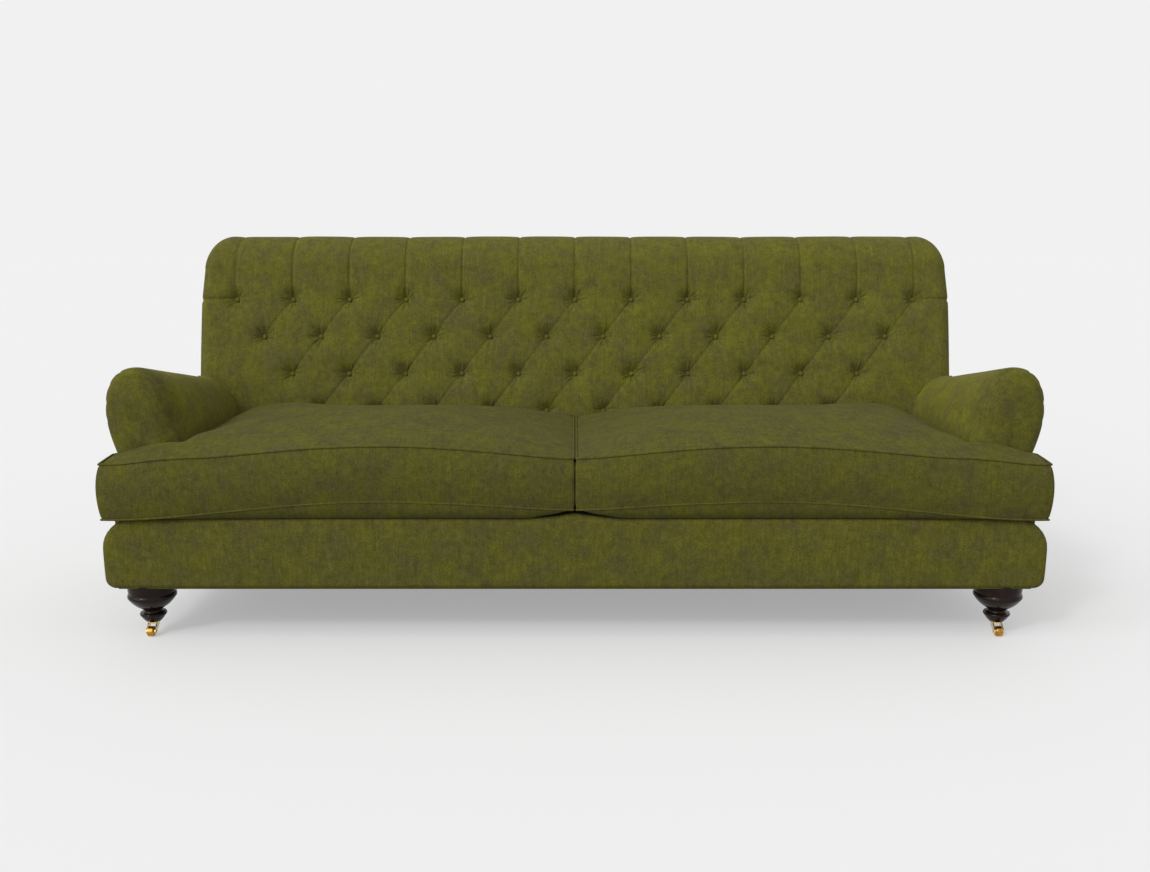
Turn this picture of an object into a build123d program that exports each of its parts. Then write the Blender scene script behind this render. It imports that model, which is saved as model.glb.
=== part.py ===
"""Four-seater sofa with a deep-buttoned back, roll arms, loose seat cushions and front castors.

Millimetres. +X runs along the sofa, the front faces -Y, +Z is up and the floor is at zero.
"""

import math
import os

from build123d import *

os.makedirs("parts", exist_ok=True)

# Main sizes
overall_width = 2260.0  # over the rolls of the two arms
overall_height = 952.0  # floor to the top of the back
seat_depth = 600.0  # cushion front to the inside back, at the datum height
seat_datum = 474.0  # height at which the seat depth is taken
back_rake = 12.0  # lean of the back from upright, degrees
underside_height = 134.0  # floor to the underside of the base
base_height = 167.0  # underside to the top of the padded deck
arm_width = 188.0  # inside face of the arm to the outside of its roll
roll_overhang = 22.0  # roll past the outside arm panel
back_inset = 62.0  # side of the back in from the outside of the roll

# Clearances
soft_gap = 0.3  # between two covers that lie against each other
frame_gap = 0.5  # between the frame and the padding round it
cushion_gap = 1.0  # between a loose cushion and what stands beside it
bolt_gap = 0.15  # round a bolt in its hole
running_gap = 0.05  # round a turning pin
cut_over = 30.0  # how far a cutter runs past what it cuts

# Timber frame
dust_thickness = 1.2
rail_height = 120.0
front_rail_thickness = 38.0
rear_rail_thickness = 38.0
end_rail_thickness = 35.0
centre_rail_thickness = 36.0
centre_rail_height = 90.0
block_leg = 70.0
block_height = 60.0
block_lift = 20.0
post_width = 45.0
back_frame_depth = 70.0
top_rail_height = 60.0
tuck_rail_height = 50.0
tuck_rail_thickness = 28.0
tuck_rail_lift = 23.0  # above the deck
centre_post_depth = 45.0
arm_post_width = 45.0
arm_post_depth = 60.0
arm_rail_thickness = 25.0
arm_rail_cover = 87.0  # padding over the arm rail, up to the ridge

# Webbing
strap_width = 50.0
strap_thickness = 2.2
seat_strap_pitch = 120.0
cross_strap_count = 4
back_strap_pitch = 200.0

# Covers
border_setback = 25.0  # cushion front to the front of the base
border_thickness = 41.0
border_swell = 5.0  # how far the border stands out past the outside arms
border_top_radius = 44.0
border_bottom_radius = 14.0
border_edge_radius = 14.0
panel_thickness = 12.0
outside_back_thickness = 8.0
shoulder_drop = 85.0  # shoulder of the outside back below the rear of the arm

# Arms
arm_setback = 107.0  # cushion front to the arm front
arm_front_height = 652.0
arm_rear_height = 571.0  # at the inside back
ridge_inset = 80.0  # ridge in from the outside of the roll
arm_rear_draw = 17.0  # how far the roll draws in at the rear
arm_roll_drop = 104.0  # ridge down to the widest point of the roll
arm_neck_drop = 208.0  # ridge down to the outside panel
arm_shoulder_drop = 150.0  # ridge down to the flat inside face
arm_lean = 8.0
arm_wall = 52.0  # padding on the inside of the arm frame
arm_front_wall = 44.0
arm_front_round = 45.0

# Buttoned back
pad_depth = 135.0  # frame face to the crest of the padding
back_lip = 13.0  # roll behind the frame
lip_drop = 30.0
roof_rise = 20.0  # top rail above the centre of the roll
cheek_thickness = 33.0
roll_end_height = 31.0  # what is left of the roll's height at the side of the back
side_radius = 40.0
button_pitch = 160.5
row_pitch = 105.8
row_one_drop = 88.3  # top row below the centre of the roll, along the rake
button_margin = 10.0  # least room from the last button to the rounded end
tuck_room = 60.0  # least padding below the lowest half row
tuft_depth = 25.0
pleat_level = 0.5  # share of the tuft depth left in a pleat
barrel = 6.0  # how much fuller the padding is at mid height than at the top and bottom
top_pleat_depth = 5.0
button_radius = 7.5
button_cone = 6.5
button_dome = 4.5

# Loose seat cushions
boxing_height = 132.0  # at the wing corner
centre_rise = 14.0  # inner corner above the wing corner
seam_rise = 37.0  # bow of the front seam at its peak
seam_peak = 0.43  # where the bow is highest, as a share of the way to the wing
crown_rise = 30.0
edge_crown = 6.0
front_swell = 9.0
bottom_draw = 12.0
corner_draw = 10.0
wing_inset = 24.0  # end of the wing in from the outside of the roll
wing_rise = 14.0  # top of the wing above its seam, where it meets the arm
wing_step = 1.0
core_inset = 60.0
core_lift = 25.0
core_height = 90.0

# Front legs
front_leg_inset = 82.0  # centre of the leg in from the outside arm panel
castor_height = 33.0
foot_radius = 17.5
ring_radius = 31.5
neck_radius = 21.5
bulb_radius = 57.0
collar_radius = 56.0
groove_radius = 54.5
ring_rise = 19.0
ring_round = 3.5
taper_swell = 1.5  # fullness of the taper below the ring
neck_rise = 27.5
flare_radius = 28.0
flare_rise = 34.5
belly_radius = 44.5
belly_rise = 47.0
bulb_rise = 63.0
collar_height = 28.0

# Rear legs
rear_leg_inset = 68.0
rear_leg_top = 46.0
rear_leg_foot = 34.0
rear_leg_splay = 34.0
glide_radius = 13.0
glide_thickness = 4.0

# Leg bolts
bolt_radius = 4.0
bolt_in_leg = 30.0
bolt_in_rail = 50.0

# Castors
socket_radius = 6.0
socket_flange_radius = 15.5
socket_flange = 1.6
socket_depth = 45.0
stem_radius = 4.0
stem_length = 40.0
crown_radius = 12.5
crown_thickness = 3.2
wheel_radius = 12.5
wheel_width = 16.0
wheel_edge = 3.0
castor_trail = 21.0
fork_thickness = 3.0
fork_eye_radius = 6.0
fork_neck = 15.0
axle_radius = 2.5
wheel_side_gap = 0.6
axle_head = 1.0

# Where sections are drawn, as shares of a rounded edge or of a length
edge_shares = (0, 0.07, 0.25, 0.55, 1)
cushion_shares = (0, 0.03, 0.1, 0.25, 0.45, 0.65, 0.85, 1)
wing_shares = (0, 0.5, 0.85, 1)
sections_per_bay = 4
roll_step = 30  # degrees between points round the rolled top

# Worked out from the sizes above
outer_half = overall_width / 2
base_half = outer_half - roll_overhang
seat_half = outer_half - arm_width
back_half = outer_half - back_inset
arm_ridge = outer_half - ridge_inset
deck_height = underside_height + base_height
rake_sin = math.sin(math.radians(back_rake))
rake_cos = math.cos(math.radians(back_rake))
strap_seat = strap_thickness + frame_gap  # frame face behind the back of the padding
frame_rear = strap_seat + back_frame_depth
cover_rear = frame_rear + frame_gap  # front of the outside back panel
roll_reach = cover_rear + back_lip
roll_radius = (pad_depth - barrel + roll_reach) / 2
rake_z = seat_datum - pad_depth * rake_sin
roll_centre = roll_radius - roll_reach
roll_rise = (overall_height - roll_radius - rake_z - roll_centre * rake_sin) / rake_cos
overall_depth = seat_depth + (pad_depth - roll_centre) * rake_cos + roll_rise * rake_sin + roll_radius
front = -overall_depth / 2
rake_y = front + seat_depth + pad_depth * rake_cos
back_plane = Plane(origin=(0, rake_y, rake_z), x_dir=(1, 0, 0), z_dir=(0, -rake_cos, rake_sin))
cavity_half = back_half - cheek_thickness

frame_half = base_half - panel_thickness
rail_bottom = underside_height + dust_thickness
rail_top = rail_bottom + rail_height
border_rear = front + border_setback + border_thickness
front_rail_rear = border_rear + front_rail_thickness
deck_bottom = rail_top + 2 * strap_thickness + 2 * frame_gap
arm_front = front + arm_setback
arm_slope = (arm_front_height - arm_rear_height) / (seat_depth - arm_setback)
arm_cavity = seat_half + arm_wall
cushion_bottom = deck_height + soft_gap
front_leg_y = (border_rear + front_rail_rear) / 2
front_leg_x = base_half - front_leg_inset
rear_leg_x = base_half - rear_leg_inset
hands = (("left", -1), ("right", 1))


def rake_point(rise, proud):
    """Side view (y, z) of a point so far up the rake and so far in front of the padding's back."""
    return (
        rake_y + rise * rake_sin - proud * rake_cos,
        rake_z + rise * rake_cos + proud * rake_sin,
    )


def rise_at(height, proud):
    """How far up the rake a height lies, on the plane that stands so proud."""
    return (height - rake_z - proud * rake_sin) / rake_cos


def rake_y_at(height, proud):
    """Depth of the raked plane at a height."""
    return rake_point(rise_at(height, proud), proud)[0]


def arm_height(y):
    """Height of the arm's ridge, which falls towards the rear."""
    return arm_front_height - arm_slope * (y - arm_front)


def slope_meets_rake(height, proud):
    """Side view (y, z) where a line that falls like the arm, from a height at its front, meets the rake."""
    slant = arm_slope * rake_sin / rake_cos
    y = (rake_y_at(height, proud) + slant * arm_front) / (1 + slant)
    return (y, height - arm_slope * (y - arm_front))


def save(piece, name):
    """Label a finished piece and write it."""
    piece.part.label = name
    export_step(piece.part, f"parts/{name}.step")


def side_block(y_low, y_high, z_low, z_high):
    """Side view rectangle, drawn in a sketch on the YZ plane."""
    with Locations(((y_low + y_high) / 2, (z_low + z_high) / 2)):
        Rectangle(y_high - y_low, z_high - z_low)


rear_rail_rear = rake_y_at(rail_bottom, -frame_rear)
rear_rail_front = rear_rail_rear - rear_rail_thickness
rear_leg_y = (rear_rail_front + rear_rail_rear) / 2
leg_spots = [
    (side * x, y)
    for x, y in ((front_leg_x, front_leg_y), (rear_leg_x, rear_leg_y))
    for _, side in hands
]

# Seat frame: front and rear rails run the full width and are drilled for the leg bolts
for name, y_low, y_high, leg_x in (
    ("frame_front_rail", border_rear, front_rail_rear, front_leg_x),
    ("frame_rear_rail", rear_rail_front, rear_rail_rear, rear_leg_x),
):
    with BuildPart() as rail:
        with BuildSketch(Plane.YZ.offset(-frame_half)):
            side_block(y_low, y_high, rail_bottom, rail_top)
        extrude(amount=2 * frame_half)
        with BuildSketch(Plane.XY.offset(rail_bottom)):
            with Locations((-leg_x, (y_low + y_high) / 2), (leg_x, (y_low + y_high) / 2)):
                Circle(bolt_radius + bolt_gap)
        extrude(amount=bolt_in_rail + frame_gap, mode=Mode.SUBTRACT)
    save(rail, name)

# End rails and the centre rail run between them
for hand, side in hands:
    with BuildPart() as end_rail:
        with BuildSketch(Plane.YZ.offset(side * frame_half)):
            side_block(front_rail_rear, rear_rail_front, rail_bottom, rail_top)
        extrude(amount=-side * end_rail_thickness)
    save(end_rail, f"frame_{hand}_end_rail")

with BuildPart() as centre_rail:
    with BuildSketch(Plane.YZ.offset(-centre_rail_thickness / 2)):
        side_block(front_rail_rear, rear_rail_front, rail_bottom, rail_bottom + centre_rail_height)
    extrude(amount=centre_rail_thickness)
save(centre_rail, "frame_centre_rail")

# Glued corner blocks stiffen the four corners
block_x = frame_half - end_rail_thickness
with BuildPart() as blocks:
    with BuildSketch(Plane.XY.offset(rail_bottom + block_lift)):
        for _, side in hands:
            for corner_y, inward in ((front_rail_rear, 1), (rear_rail_front, -1)):
                with BuildLine():
                    Polyline(
                        (side * block_x, corner_y),
                        (side * (block_x - block_leg), corner_y),
                        (side * block_x, corner_y + inward * block_leg),
                        close=True,
                    )
                make_face()
    extrude(amount=block_height)
save(blocks, "frame_corner_blocks")

# Back frame: raked outer posts stand on the rear rail and carry the top rail
top_rail_top = roll_rise + roof_rise - frame_gap
top_rail_bottom = top_rail_top - top_rail_height
post_outer = cavity_half - frame_gap
for hand, side in hands:
    with BuildPart() as post:
        with BuildSketch(Plane.YZ.offset(side * post_outer)):
            with BuildLine():
                Polyline(
                    rake_point(rise_at(rail_top, -strap_seat), -strap_seat),
                    rake_point(rise_at(rail_top, -frame_rear), -frame_rear),
                    rake_point(top_rail_bottom, -frame_rear),
                    rake_point(top_rail_bottom, -strap_seat),
                    close=True,
                )
            make_face()
        extrude(amount=-side * post_width)
    save(post, f"back_{hand}_post")

with BuildPart() as top_rail:
    with BuildSketch(back_plane.offset(-strap_seat)):
        with Locations((0, (top_rail_top + top_rail_bottom) / 2)):
            Rectangle(2 * post_outer, top_rail_height)
    extrude(amount=-back_frame_depth)
save(top_rail, "back_top_rail")

# The tuck rail, which the inside back is pulled under, and the centre post on it
tuck_bottom = rise_at(deck_height + tuck_rail_lift, -strap_seat)
tuck_top = tuck_bottom + tuck_rail_height
with BuildPart() as tuck_rail:
    with BuildSketch(back_plane.offset(-strap_seat)):
        with Locations((0, (tuck_top + tuck_bottom) / 2)):
            Rectangle(2 * (post_outer - post_width), tuck_rail_height)
    extrude(amount=-tuck_rail_thickness)
save(tuck_rail, "back_tuck_rail")

with BuildPart() as centre_post:
    with BuildSketch(back_plane.offset(-strap_seat)):
        with Locations((0, (top_rail_bottom + tuck_top) / 2)):
            Rectangle(post_width, top_rail_bottom - tuck_top)
    extrude(amount=-centre_post_depth)
save(centre_post, "back_centre_post")

# Arm frames: a front post on the end rail and a sloping rail back to the raked post
arm_post_front = arm_front + arm_front_wall + frame_gap
arm_post_rear = arm_post_front + arm_post_depth
arm_frame_half = frame_half - frame_gap


def arm_rail_top(y):
    """Height of the arm rail's upper face."""
    return arm_height(y) - arm_rail_cover


def arm_rail_outline(margin):
    """Side view of the arm rail, with room all round, up to the raked post."""
    upper = arm_rail_top(arm_front) + margin
    lower = arm_rail_top(arm_front) - arm_rail_thickness - margin
    fall = arm_slope * (arm_post_front - arm_front)
    return [
        (arm_post_front, upper - fall),
        slope_meets_rake(upper, -strap_seat),
        slope_meets_rake(lower, -strap_seat),
        (arm_post_front, lower - fall),
    ]


for hand, side in hands:
    with BuildPart() as arm_post:
        with BuildSketch(Plane.YZ.offset(side * arm_frame_half)):
            with BuildLine():
                Polyline(
                    (arm_post_front, rail_top),
                    (arm_post_rear, rail_top),
                    (arm_post_rear, arm_rail_top(arm_post_rear) - arm_rail_thickness),
                    (arm_post_front, arm_rail_top(arm_post_front) - arm_rail_thickness),
                    close=True,
                )
            make_face()
        extrude(amount=-side * arm_post_width)
    save(arm_post, f"{hand}_arm_post")

    with BuildPart() as arm_rail:
        with BuildSketch(Plane.YZ.offset(side * arm_frame_half)):
            with BuildLine():
                Polyline(*arm_rail_outline(0), close=True)
            make_face()
        extrude(amount=-side * (arm_frame_half - arm_cavity - frame_gap))
    save(arm_rail, f"{hand}_arm_rail")

# Seat webbing: straps front to back on the rails, and cross straps over them
strap_count = math.floor(2 * seat_half / seat_strap_pitch)
with BuildPart() as webbing:
    with BuildSketch(Plane.XY.offset(rail_top)):
        with Locations((0, (border_rear + rear_rail_rear) / 2)):
            with GridLocations(seat_strap_pitch, 0, strap_count, 1):
                Rectangle(strap_width, rear_rail_rear - border_rear)
    extrude(amount=strap_thickness)
save(webbing, "seat_webbing_lengthways")

cross_first = arm_post_rear + strap_width
cross_last = rear_rail_front - block_leg - strap_width
cross_pitch = (cross_last - cross_first) / (cross_strap_count - 1)
with BuildPart() as cross_webbing:
    with BuildSketch(Plane.XY.offset(rail_top + strap_thickness + soft_gap)):
        with Locations((0, (cross_first + cross_last) / 2)):
            with GridLocations(0, cross_pitch, 1, cross_strap_count):
                Rectangle(2 * arm_frame_half, strap_width)
    extrude(amount=strap_thickness)
save(cross_webbing, "seat_webbing_crossways")

# Back webbing: upright straps on the face of the back frame
back_strap_count = math.floor((2 * (post_outer - post_width) - strap_width) / back_strap_pitch)
with BuildPart() as back_webbing:
    with BuildSketch(back_plane.offset(-strap_seat)):
        with Locations((0, (tuck_bottom + top_rail_top) / 2)):
            with GridLocations(back_strap_pitch, 0, back_strap_count, 1):
                Rectangle(strap_width, top_rail_top - tuck_bottom)
    extrude(amount=strap_thickness)
save(back_webbing, "back_webbing")

# Padded deck on the webbing, with wings in front of the arms
deck_rear = rake_y_at(deck_bottom, -strap_seat) - frame_gap
deck_half = seat_half - soft_gap
with BuildPart() as deck:
    with BuildSketch(Plane.XY.offset(deck_bottom)):
        with BuildLine():
            Polyline(
                (-frame_half, border_rear + soft_gap),
                (frame_half, border_rear + soft_gap),
                (frame_half, arm_front - soft_gap),
                (deck_half, arm_front - soft_gap),
                (deck_half, deck_rear),
                (-deck_half, deck_rear),
                (-deck_half, arm_front - soft_gap),
                (-frame_half, arm_front - soft_gap),
                close=True,
            )
        make_face()
    extrude(amount=deck_height - deck_bottom)
save(deck, "seat_deck")

# Padded front border with softly rounded ends
with BuildPart() as border:
    with BuildSketch(Plane.XZ.offset(-border_rear)) as border_outline:
        with Locations((0, underside_height + base_height / 2)):
            Rectangle(2 * (base_half + border_swell), base_height)
        fillet(border_outline.vertices().group_by(Axis.Y)[-1], border_top_radius)
        fillet(border_outline.vertices().group_by(Axis.Y)[0], border_bottom_radius)
    extrude(amount=border_thickness)
    fillet(border.faces().sort_by(Axis.Y)[0].edges(), min(border_edge_radius, border_thickness / 2))
save(border, "front_border")

# Dust cover under the frame, pierced for the leg bolts
with BuildPart() as dust_cover:
    with BuildSketch(Plane.XY.offset(underside_height)):
        with Locations((0, (border_rear + rear_rail_rear) / 2)):
            Rectangle(2 * frame_half, rear_rail_rear - border_rear)
        with Locations(*leg_spots):
            Circle(bolt_radius + bolt_gap, mode=Mode.SUBTRACT)
    extrude(amount=dust_thickness)
save(dust_cover, "dust_cover")


def neck_height(y):
    """Where the outside arm panel meets the roll."""
    return arm_height(y) - arm_neck_drop


# Outside arm panels, from the base up to the underside of the roll
panel_rear = -cover_rear + soft_gap
panel_top = neck_height(arm_front) - soft_gap
for hand, side in hands:
    with BuildPart() as panel:
        with BuildSketch(Plane.YZ.offset(side * base_half)):
            with BuildLine():
                Polyline(
                    (border_rear + soft_gap, underside_height),
                    (rake_y_at(underside_height, panel_rear), underside_height),
                    slope_meets_rake(panel_top, panel_rear),
                    (arm_front + frame_gap, panel_top - arm_slope * frame_gap),
                    (arm_front + frame_gap, deck_height),
                    (border_rear + soft_gap, deck_height),
                    close=True,
                )
            make_face()
        extrude(amount=-side * panel_thickness)
    save(panel, f"{hand}_outside_arm")

# Outside back panel, wide below the arms and narrower above them, under the lip of the roll
panel_top_rise = roll_rise - lip_drop - soft_gap
shoulder_rise = rise_at(arm_rear_height - shoulder_drop, -cover_rear)
panel_low_rise = rise_at(rail_bottom, -cover_rear)
with BuildPart() as outside_back:
    with BuildSketch(back_plane.offset(-cover_rear)):
        with BuildLine():
            Polyline(
                (-base_half, panel_low_rise),
                (base_half, panel_low_rise),
                (base_half, shoulder_rise),
                (back_half, shoulder_rise),
                (back_half, panel_top_rise),
                (-back_half, panel_top_rise),
                (-back_half, shoulder_rise),
                (-base_half, shoulder_rise),
                close=True,
            )
        make_face()
    extrude(amount=-outside_back_thickness)
save(outside_back, "outside_back")


def rounding(distance, radius):
    """How far a rounded edge has drawn in at a distance from the end."""
    left = max(radius - distance, 0)
    return radius - math.sqrt(radius**2 - left**2)


def arm_profile(side, y, inset):
    """Front view of the arm: flat inside face, round roll, drawn-in neck above the panel."""
    share = (y - arm_front) / (seat_depth - arm_setback)
    top = arm_height(y) - inset
    inside = seat_half + inset
    outside = outer_half - arm_rear_draw * share - inset
    widest = arm_height(y) - arm_roll_drop
    shoulder = arm_height(y) - arm_shoulder_drop
    neck = base_half - inset
    wall = frame_half - inset
    diagonal = math.sqrt(0.5)
    points = {
        "foot": (inside, deck_bottom),
        "shoulder": (inside + arm_lean, shoulder),
        "ridge": (arm_ridge, top),
        "widest": (outside, widest),
        "neck": (neck, neck_height(y)),
        "tuck": (wall, neck_height(y)),
        "heel": (wall, deck_bottom),
    }
    points["inner_roll"] = (
        arm_ridge - diagonal * (arm_ridge - inside - arm_lean),
        shoulder + diagonal * (top - shoulder),
    )
    points["outer_roll"] = (
        arm_ridge + diagonal * (outside - arm_ridge),
        widest + diagonal * (top - widest),
    )
    points["under_roll"] = (
        neck + (outside - neck) * diagonal,
        (widest + neck_height(y)) / 2,
    )
    return {key: (side * x, z) for key, (x, z) in points.items()}


# Padded arms: lofted from the rounded front to the rear, hollow for the arm frame
round_steps = [arm_front_round * share for share in edge_shares]
arm_rear = rake_y_at(arm_front_height, -cover_rear) + cut_over
arm_stations = [(arm_front + step, rounding(step, arm_front_round)) for step in round_steps]
arm_stations += [(front + seat_depth, 0), (arm_rear, 0)]
back_clear = back_half + soft_gap
for hand, side in hands:
    with BuildPart() as arm:
        for y, inset in arm_stations:
            at = arm_profile(side, y, inset)
            with BuildSketch(Plane.XZ.offset(-y)):
                with BuildLine():
                    Line(at["foot"], at["shoulder"])
                    ThreePointArc(at["shoulder"], at["inner_roll"], at["ridge"])
                    ThreePointArc(at["ridge"], at["outer_roll"], at["widest"])
                    ThreePointArc(at["widest"], at["under_roll"], at["neck"])
                    Line(at["neck"], at["tuck"])
                    Line(at["tuck"], at["heel"])
                    Line(at["heel"], at["foot"])
                make_face()
        loft(ruled=True)
        # room for the arm frame
        with BuildSketch(Plane.YZ.offset(side * arm_cavity)):
            with BuildLine():
                Polyline(
                    (arm_front + arm_front_wall, deck_bottom - cut_over),
                    (arm_rear + cut_over, deck_bottom - cut_over),
                    (arm_rear + cut_over, arm_rail_top(arm_rear + cut_over) + frame_gap),
                    (arm_front + arm_front_wall, arm_rail_top(arm_front + arm_front_wall) + frame_gap),
                    close=True,
                )
            make_face()
        extrude(amount=side * (frame_half + frame_gap - arm_cavity), mode=Mode.SUBTRACT)
        # room for the back, which the arm runs up to and past
        with BuildSketch(Plane.YZ):
            with BuildLine():
                Polyline(
                    rake_point(rise_at(0, 0), pad_depth + soft_gap),
                    rake_point(roll_rise + cut_over, pad_depth + soft_gap),
                    rake_point(roll_rise + cut_over, -overall_depth),
                    rake_point(rise_at(0, 0), -overall_depth),
                    close=True,
                )
            make_face()
        extrude(amount=side * back_clear, mode=Mode.SUBTRACT)
        split(bisect_by=back_plane.offset(-cover_rear), keep=Keep.TOP)
    save(arm, f"{hand}_arm_pad")


def crease(value):
    """Zero on a fold line and one midway between two."""
    return 2 * abs(value - round(value))


def swell(share):
    """Rise of the padding from a fold to the middle of its bay."""
    return 1 - (1 - share) ** 2


top_corner_radius = roll_radius - roll_end_height
button_columns = math.floor((back_half - top_corner_radius - button_margin) / button_pitch)
row_one_rise = roll_rise - row_one_drop
pad_bottom = rise_at(deck_height + soft_gap, 0)
button_rows = 1 + math.floor((row_one_rise - pad_bottom - tuck_room) / row_pitch - 0.5)


def tuft(x, row):
    """Fullness of the padding, nought in a button's pit and one on a crest; row 0 is the top row."""
    column = abs(x) / button_pitch
    last_row = button_rows - 1
    if row < 0 or row > last_row:
        beyond = -row if row < 0 else row - last_row
        edge_row = 0 if row < 0 else last_row
        past = column - (button_columns - edge_row / 2)
        bay = swell(min(2 * past, 1)) if past > 0 else swell(crease(column - edge_row / 2))
        floor = pleat_level * min(2 * beyond, 1)
        return floor + (1 - floor) * bay
    past = column - (button_columns - row / 2)
    rising = swell(crease(column - row / 2))
    if past <= 0:
        return (swell(crease(column + row / 2)) + rising) / 2
    fade = min(2 * past, 1)
    plain = (swell(fade) + rising + (1 - rising) * fade) / 2
    side_pleat = (1 - pleat_level) * max(1 - 2 * row, 0) * fade
    return plain - side_pleat


def padding(rise, crest, fullness):
    """How far the padding stands off the frame, fuller at mid height."""
    height = (2 * rise - pad_bottom - roll_rise) / (roll_rise - pad_bottom)
    return crest - barrel * height**2 - tuft_depth * (1 - fullness)


def back_outline(x):
    """Side view of the buttoned back at a distance along the sofa."""
    distance = back_half - abs(x)
    drawn = rounding(distance, side_radius)
    crest = pad_depth - drawn
    radius = (padding(roll_rise, crest, 1) + roll_reach) / 2
    upright = (roll_radius - rounding(distance, top_corner_radius)) / radius
    centre = radius - roll_reach
    points = [(pad_bottom, panel_rear), (pad_bottom, padding(pad_bottom, crest, 1))]
    for half_row in range(2 * button_rows - 1, -1, -1):
        row = half_row / 2
        rise = row_one_rise - row * row_pitch
        points.append((rise, padding(rise, crest, tuft(x, row))))
    middle = (row_one_rise + roll_rise) / 2
    bay = tuft(x, -0.5)
    points.append((middle, padding(middle, crest, bay)))
    for turn in range(0, 180 + roll_step, roll_step):
        lean = math.radians(turn)
        front_share = max(math.cos(lean), 0)
        depth = tuft_depth * front_share + top_pleat_depth / pleat_level * math.sin(lean)
        reach = radius - depth * (1 - bay)
        points.append((roll_rise + upright * reach * math.sin(lean), centre + reach * math.cos(lean)))
    lip = roll_rise - lip_drop
    points += [(lip, -roll_reach), (lip, panel_rear)]
    return [rake_point(rise, proud) for rise, proud in points]


# Deep-buttoned inside back: diamonds between the buttons, pleats over the rolled top
bay_step = button_pitch / sections_per_bay
end_stations = [back_half - top_corner_radius * share for share in reversed(edge_shares)]
half_stations = [step * bay_step for step in range(sections_per_bay * button_columns + 1)] + end_stations
stations = [-x for x in reversed(half_stations[1:])] + half_stations
with BuildPart() as inside_back:
    for x in stations:
        with BuildSketch(Plane.YZ.offset(x)):
            with BuildLine():
                Polyline(*back_outline(x), close=True)
            make_face()
    loft(ruled=True)
    # room for the back frame, open at the rear and below
    roof = roll_rise + roof_rise
    with BuildSketch(Plane.YZ.offset(-cavity_half)):
        with BuildLine():
            Polyline(
                rake_point(rise_at(0, 0), 0),
                rake_point(roof, 0),
                rake_point(roof, -frame_rear - frame_gap),
                rake_point(rise_at(0, 0), -frame_rear - frame_gap),
                close=True,
            )
        make_face()
    extrude(amount=2 * cavity_half, mode=Mode.SUBTRACT)
    # slots that the arm rails pass through to reach the posts
    for _, side in hands:
        with BuildSketch(Plane.YZ.offset(side * arm_cavity)):
            with BuildLine():
                Polyline(*arm_rail_outline(frame_gap), close=True)
            make_face()
        extrude(amount=side * (back_half + cut_over - arm_cavity), mode=Mode.SUBTRACT)
save(inside_back, "inside_back")

# Covered buttons, one in each pit
with BuildPart() as button:
    with BuildSketch(Plane.XZ):
        with BuildLine():
            Line((0, soft_gap), (button_radius, button_cone))
            TangentArc((0, button_cone + button_dome), (button_radius, button_cone), tangent=(1, 0))
            Line((0, button_cone + button_dome), (0, soft_gap))
        make_face()
    revolve(axis=Axis.Z)

button_spots = []
for row in range(button_rows):
    across = 2 * button_columns + 1 - row
    for place in range(across):
        x = (place - (across - 1) / 2) * button_pitch
        rise = row_one_rise - row * row_pitch
        button_spots.append(back_plane * Location((x, rise, padding(rise, pad_depth, 0))))
with BuildPart() as back_buttons:
    with Locations(*button_spots):
        add(button.part)
save(back_buttons, "back_buttons")

# Loose seat cushions: crowned, with boxed fronts and a wing in front of each arm
cushion_inner = cushion_gap / 2
cushion_arm = seat_half - cushion_gap - wing_step
wing_rear = arm_front - cushion_gap
wing_reach = outer_half - wing_inset
wing_start = cushion_arm + wing_step


def seam_bow(share):
    """Bow of the front seam, nought at both ends and one at its peak."""
    lead = share / seam_peak if share < seam_peak else (1 - share) / (1 - seam_peak)
    return math.sin(math.pi / 2 * lead) ** 2


def cushion_profile(x, depth_of_wing):
    """Side view of a seat cushion: flat base, full front, crowned top."""
    share = (x - cushion_inner) / (wing_reach - cushion_inner)
    arch = max(math.sin(math.pi * share), 0)
    seam = cushion_bottom + boxing_height + centre_rise * (1 - share) + seam_rise * seam_bow(share)
    crown = edge_crown + (crown_rise - edge_crown) * math.sqrt(arch)
    end = min(x - cushion_inner, wing_reach - x)
    face = front + front_swell + corner_draw * max(1 - end / boxing_height, 0) ** 2
    if depth_of_wing:
        reach = (x - wing_start) / (wing_reach - wing_start)
        rear_low, rear_high = wing_rear, wing_rear
        rear_top = seam + wing_rise * math.sqrt(1 - reach**2)
        crown = edge_crown + (rear_top - seam) / 2
    else:
        rear_top = seam + crown / 2
        rear_low = rake_y_at(cushion_bottom, pad_depth) - cushion_gap
        rear_high = rake_y_at(rear_top, pad_depth) - cushion_gap
    return {
        "heel": (rear_low, cushion_bottom),
        "toe": (face + bottom_draw, cushion_bottom),
        "face": (face - front_swell, (cushion_bottom + seam) / 2),
        "seam": (face, seam),
        "crown": ((face + rear_high) / 2, seam + crown),
        "back": (rear_high, rear_top),
    }


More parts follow.
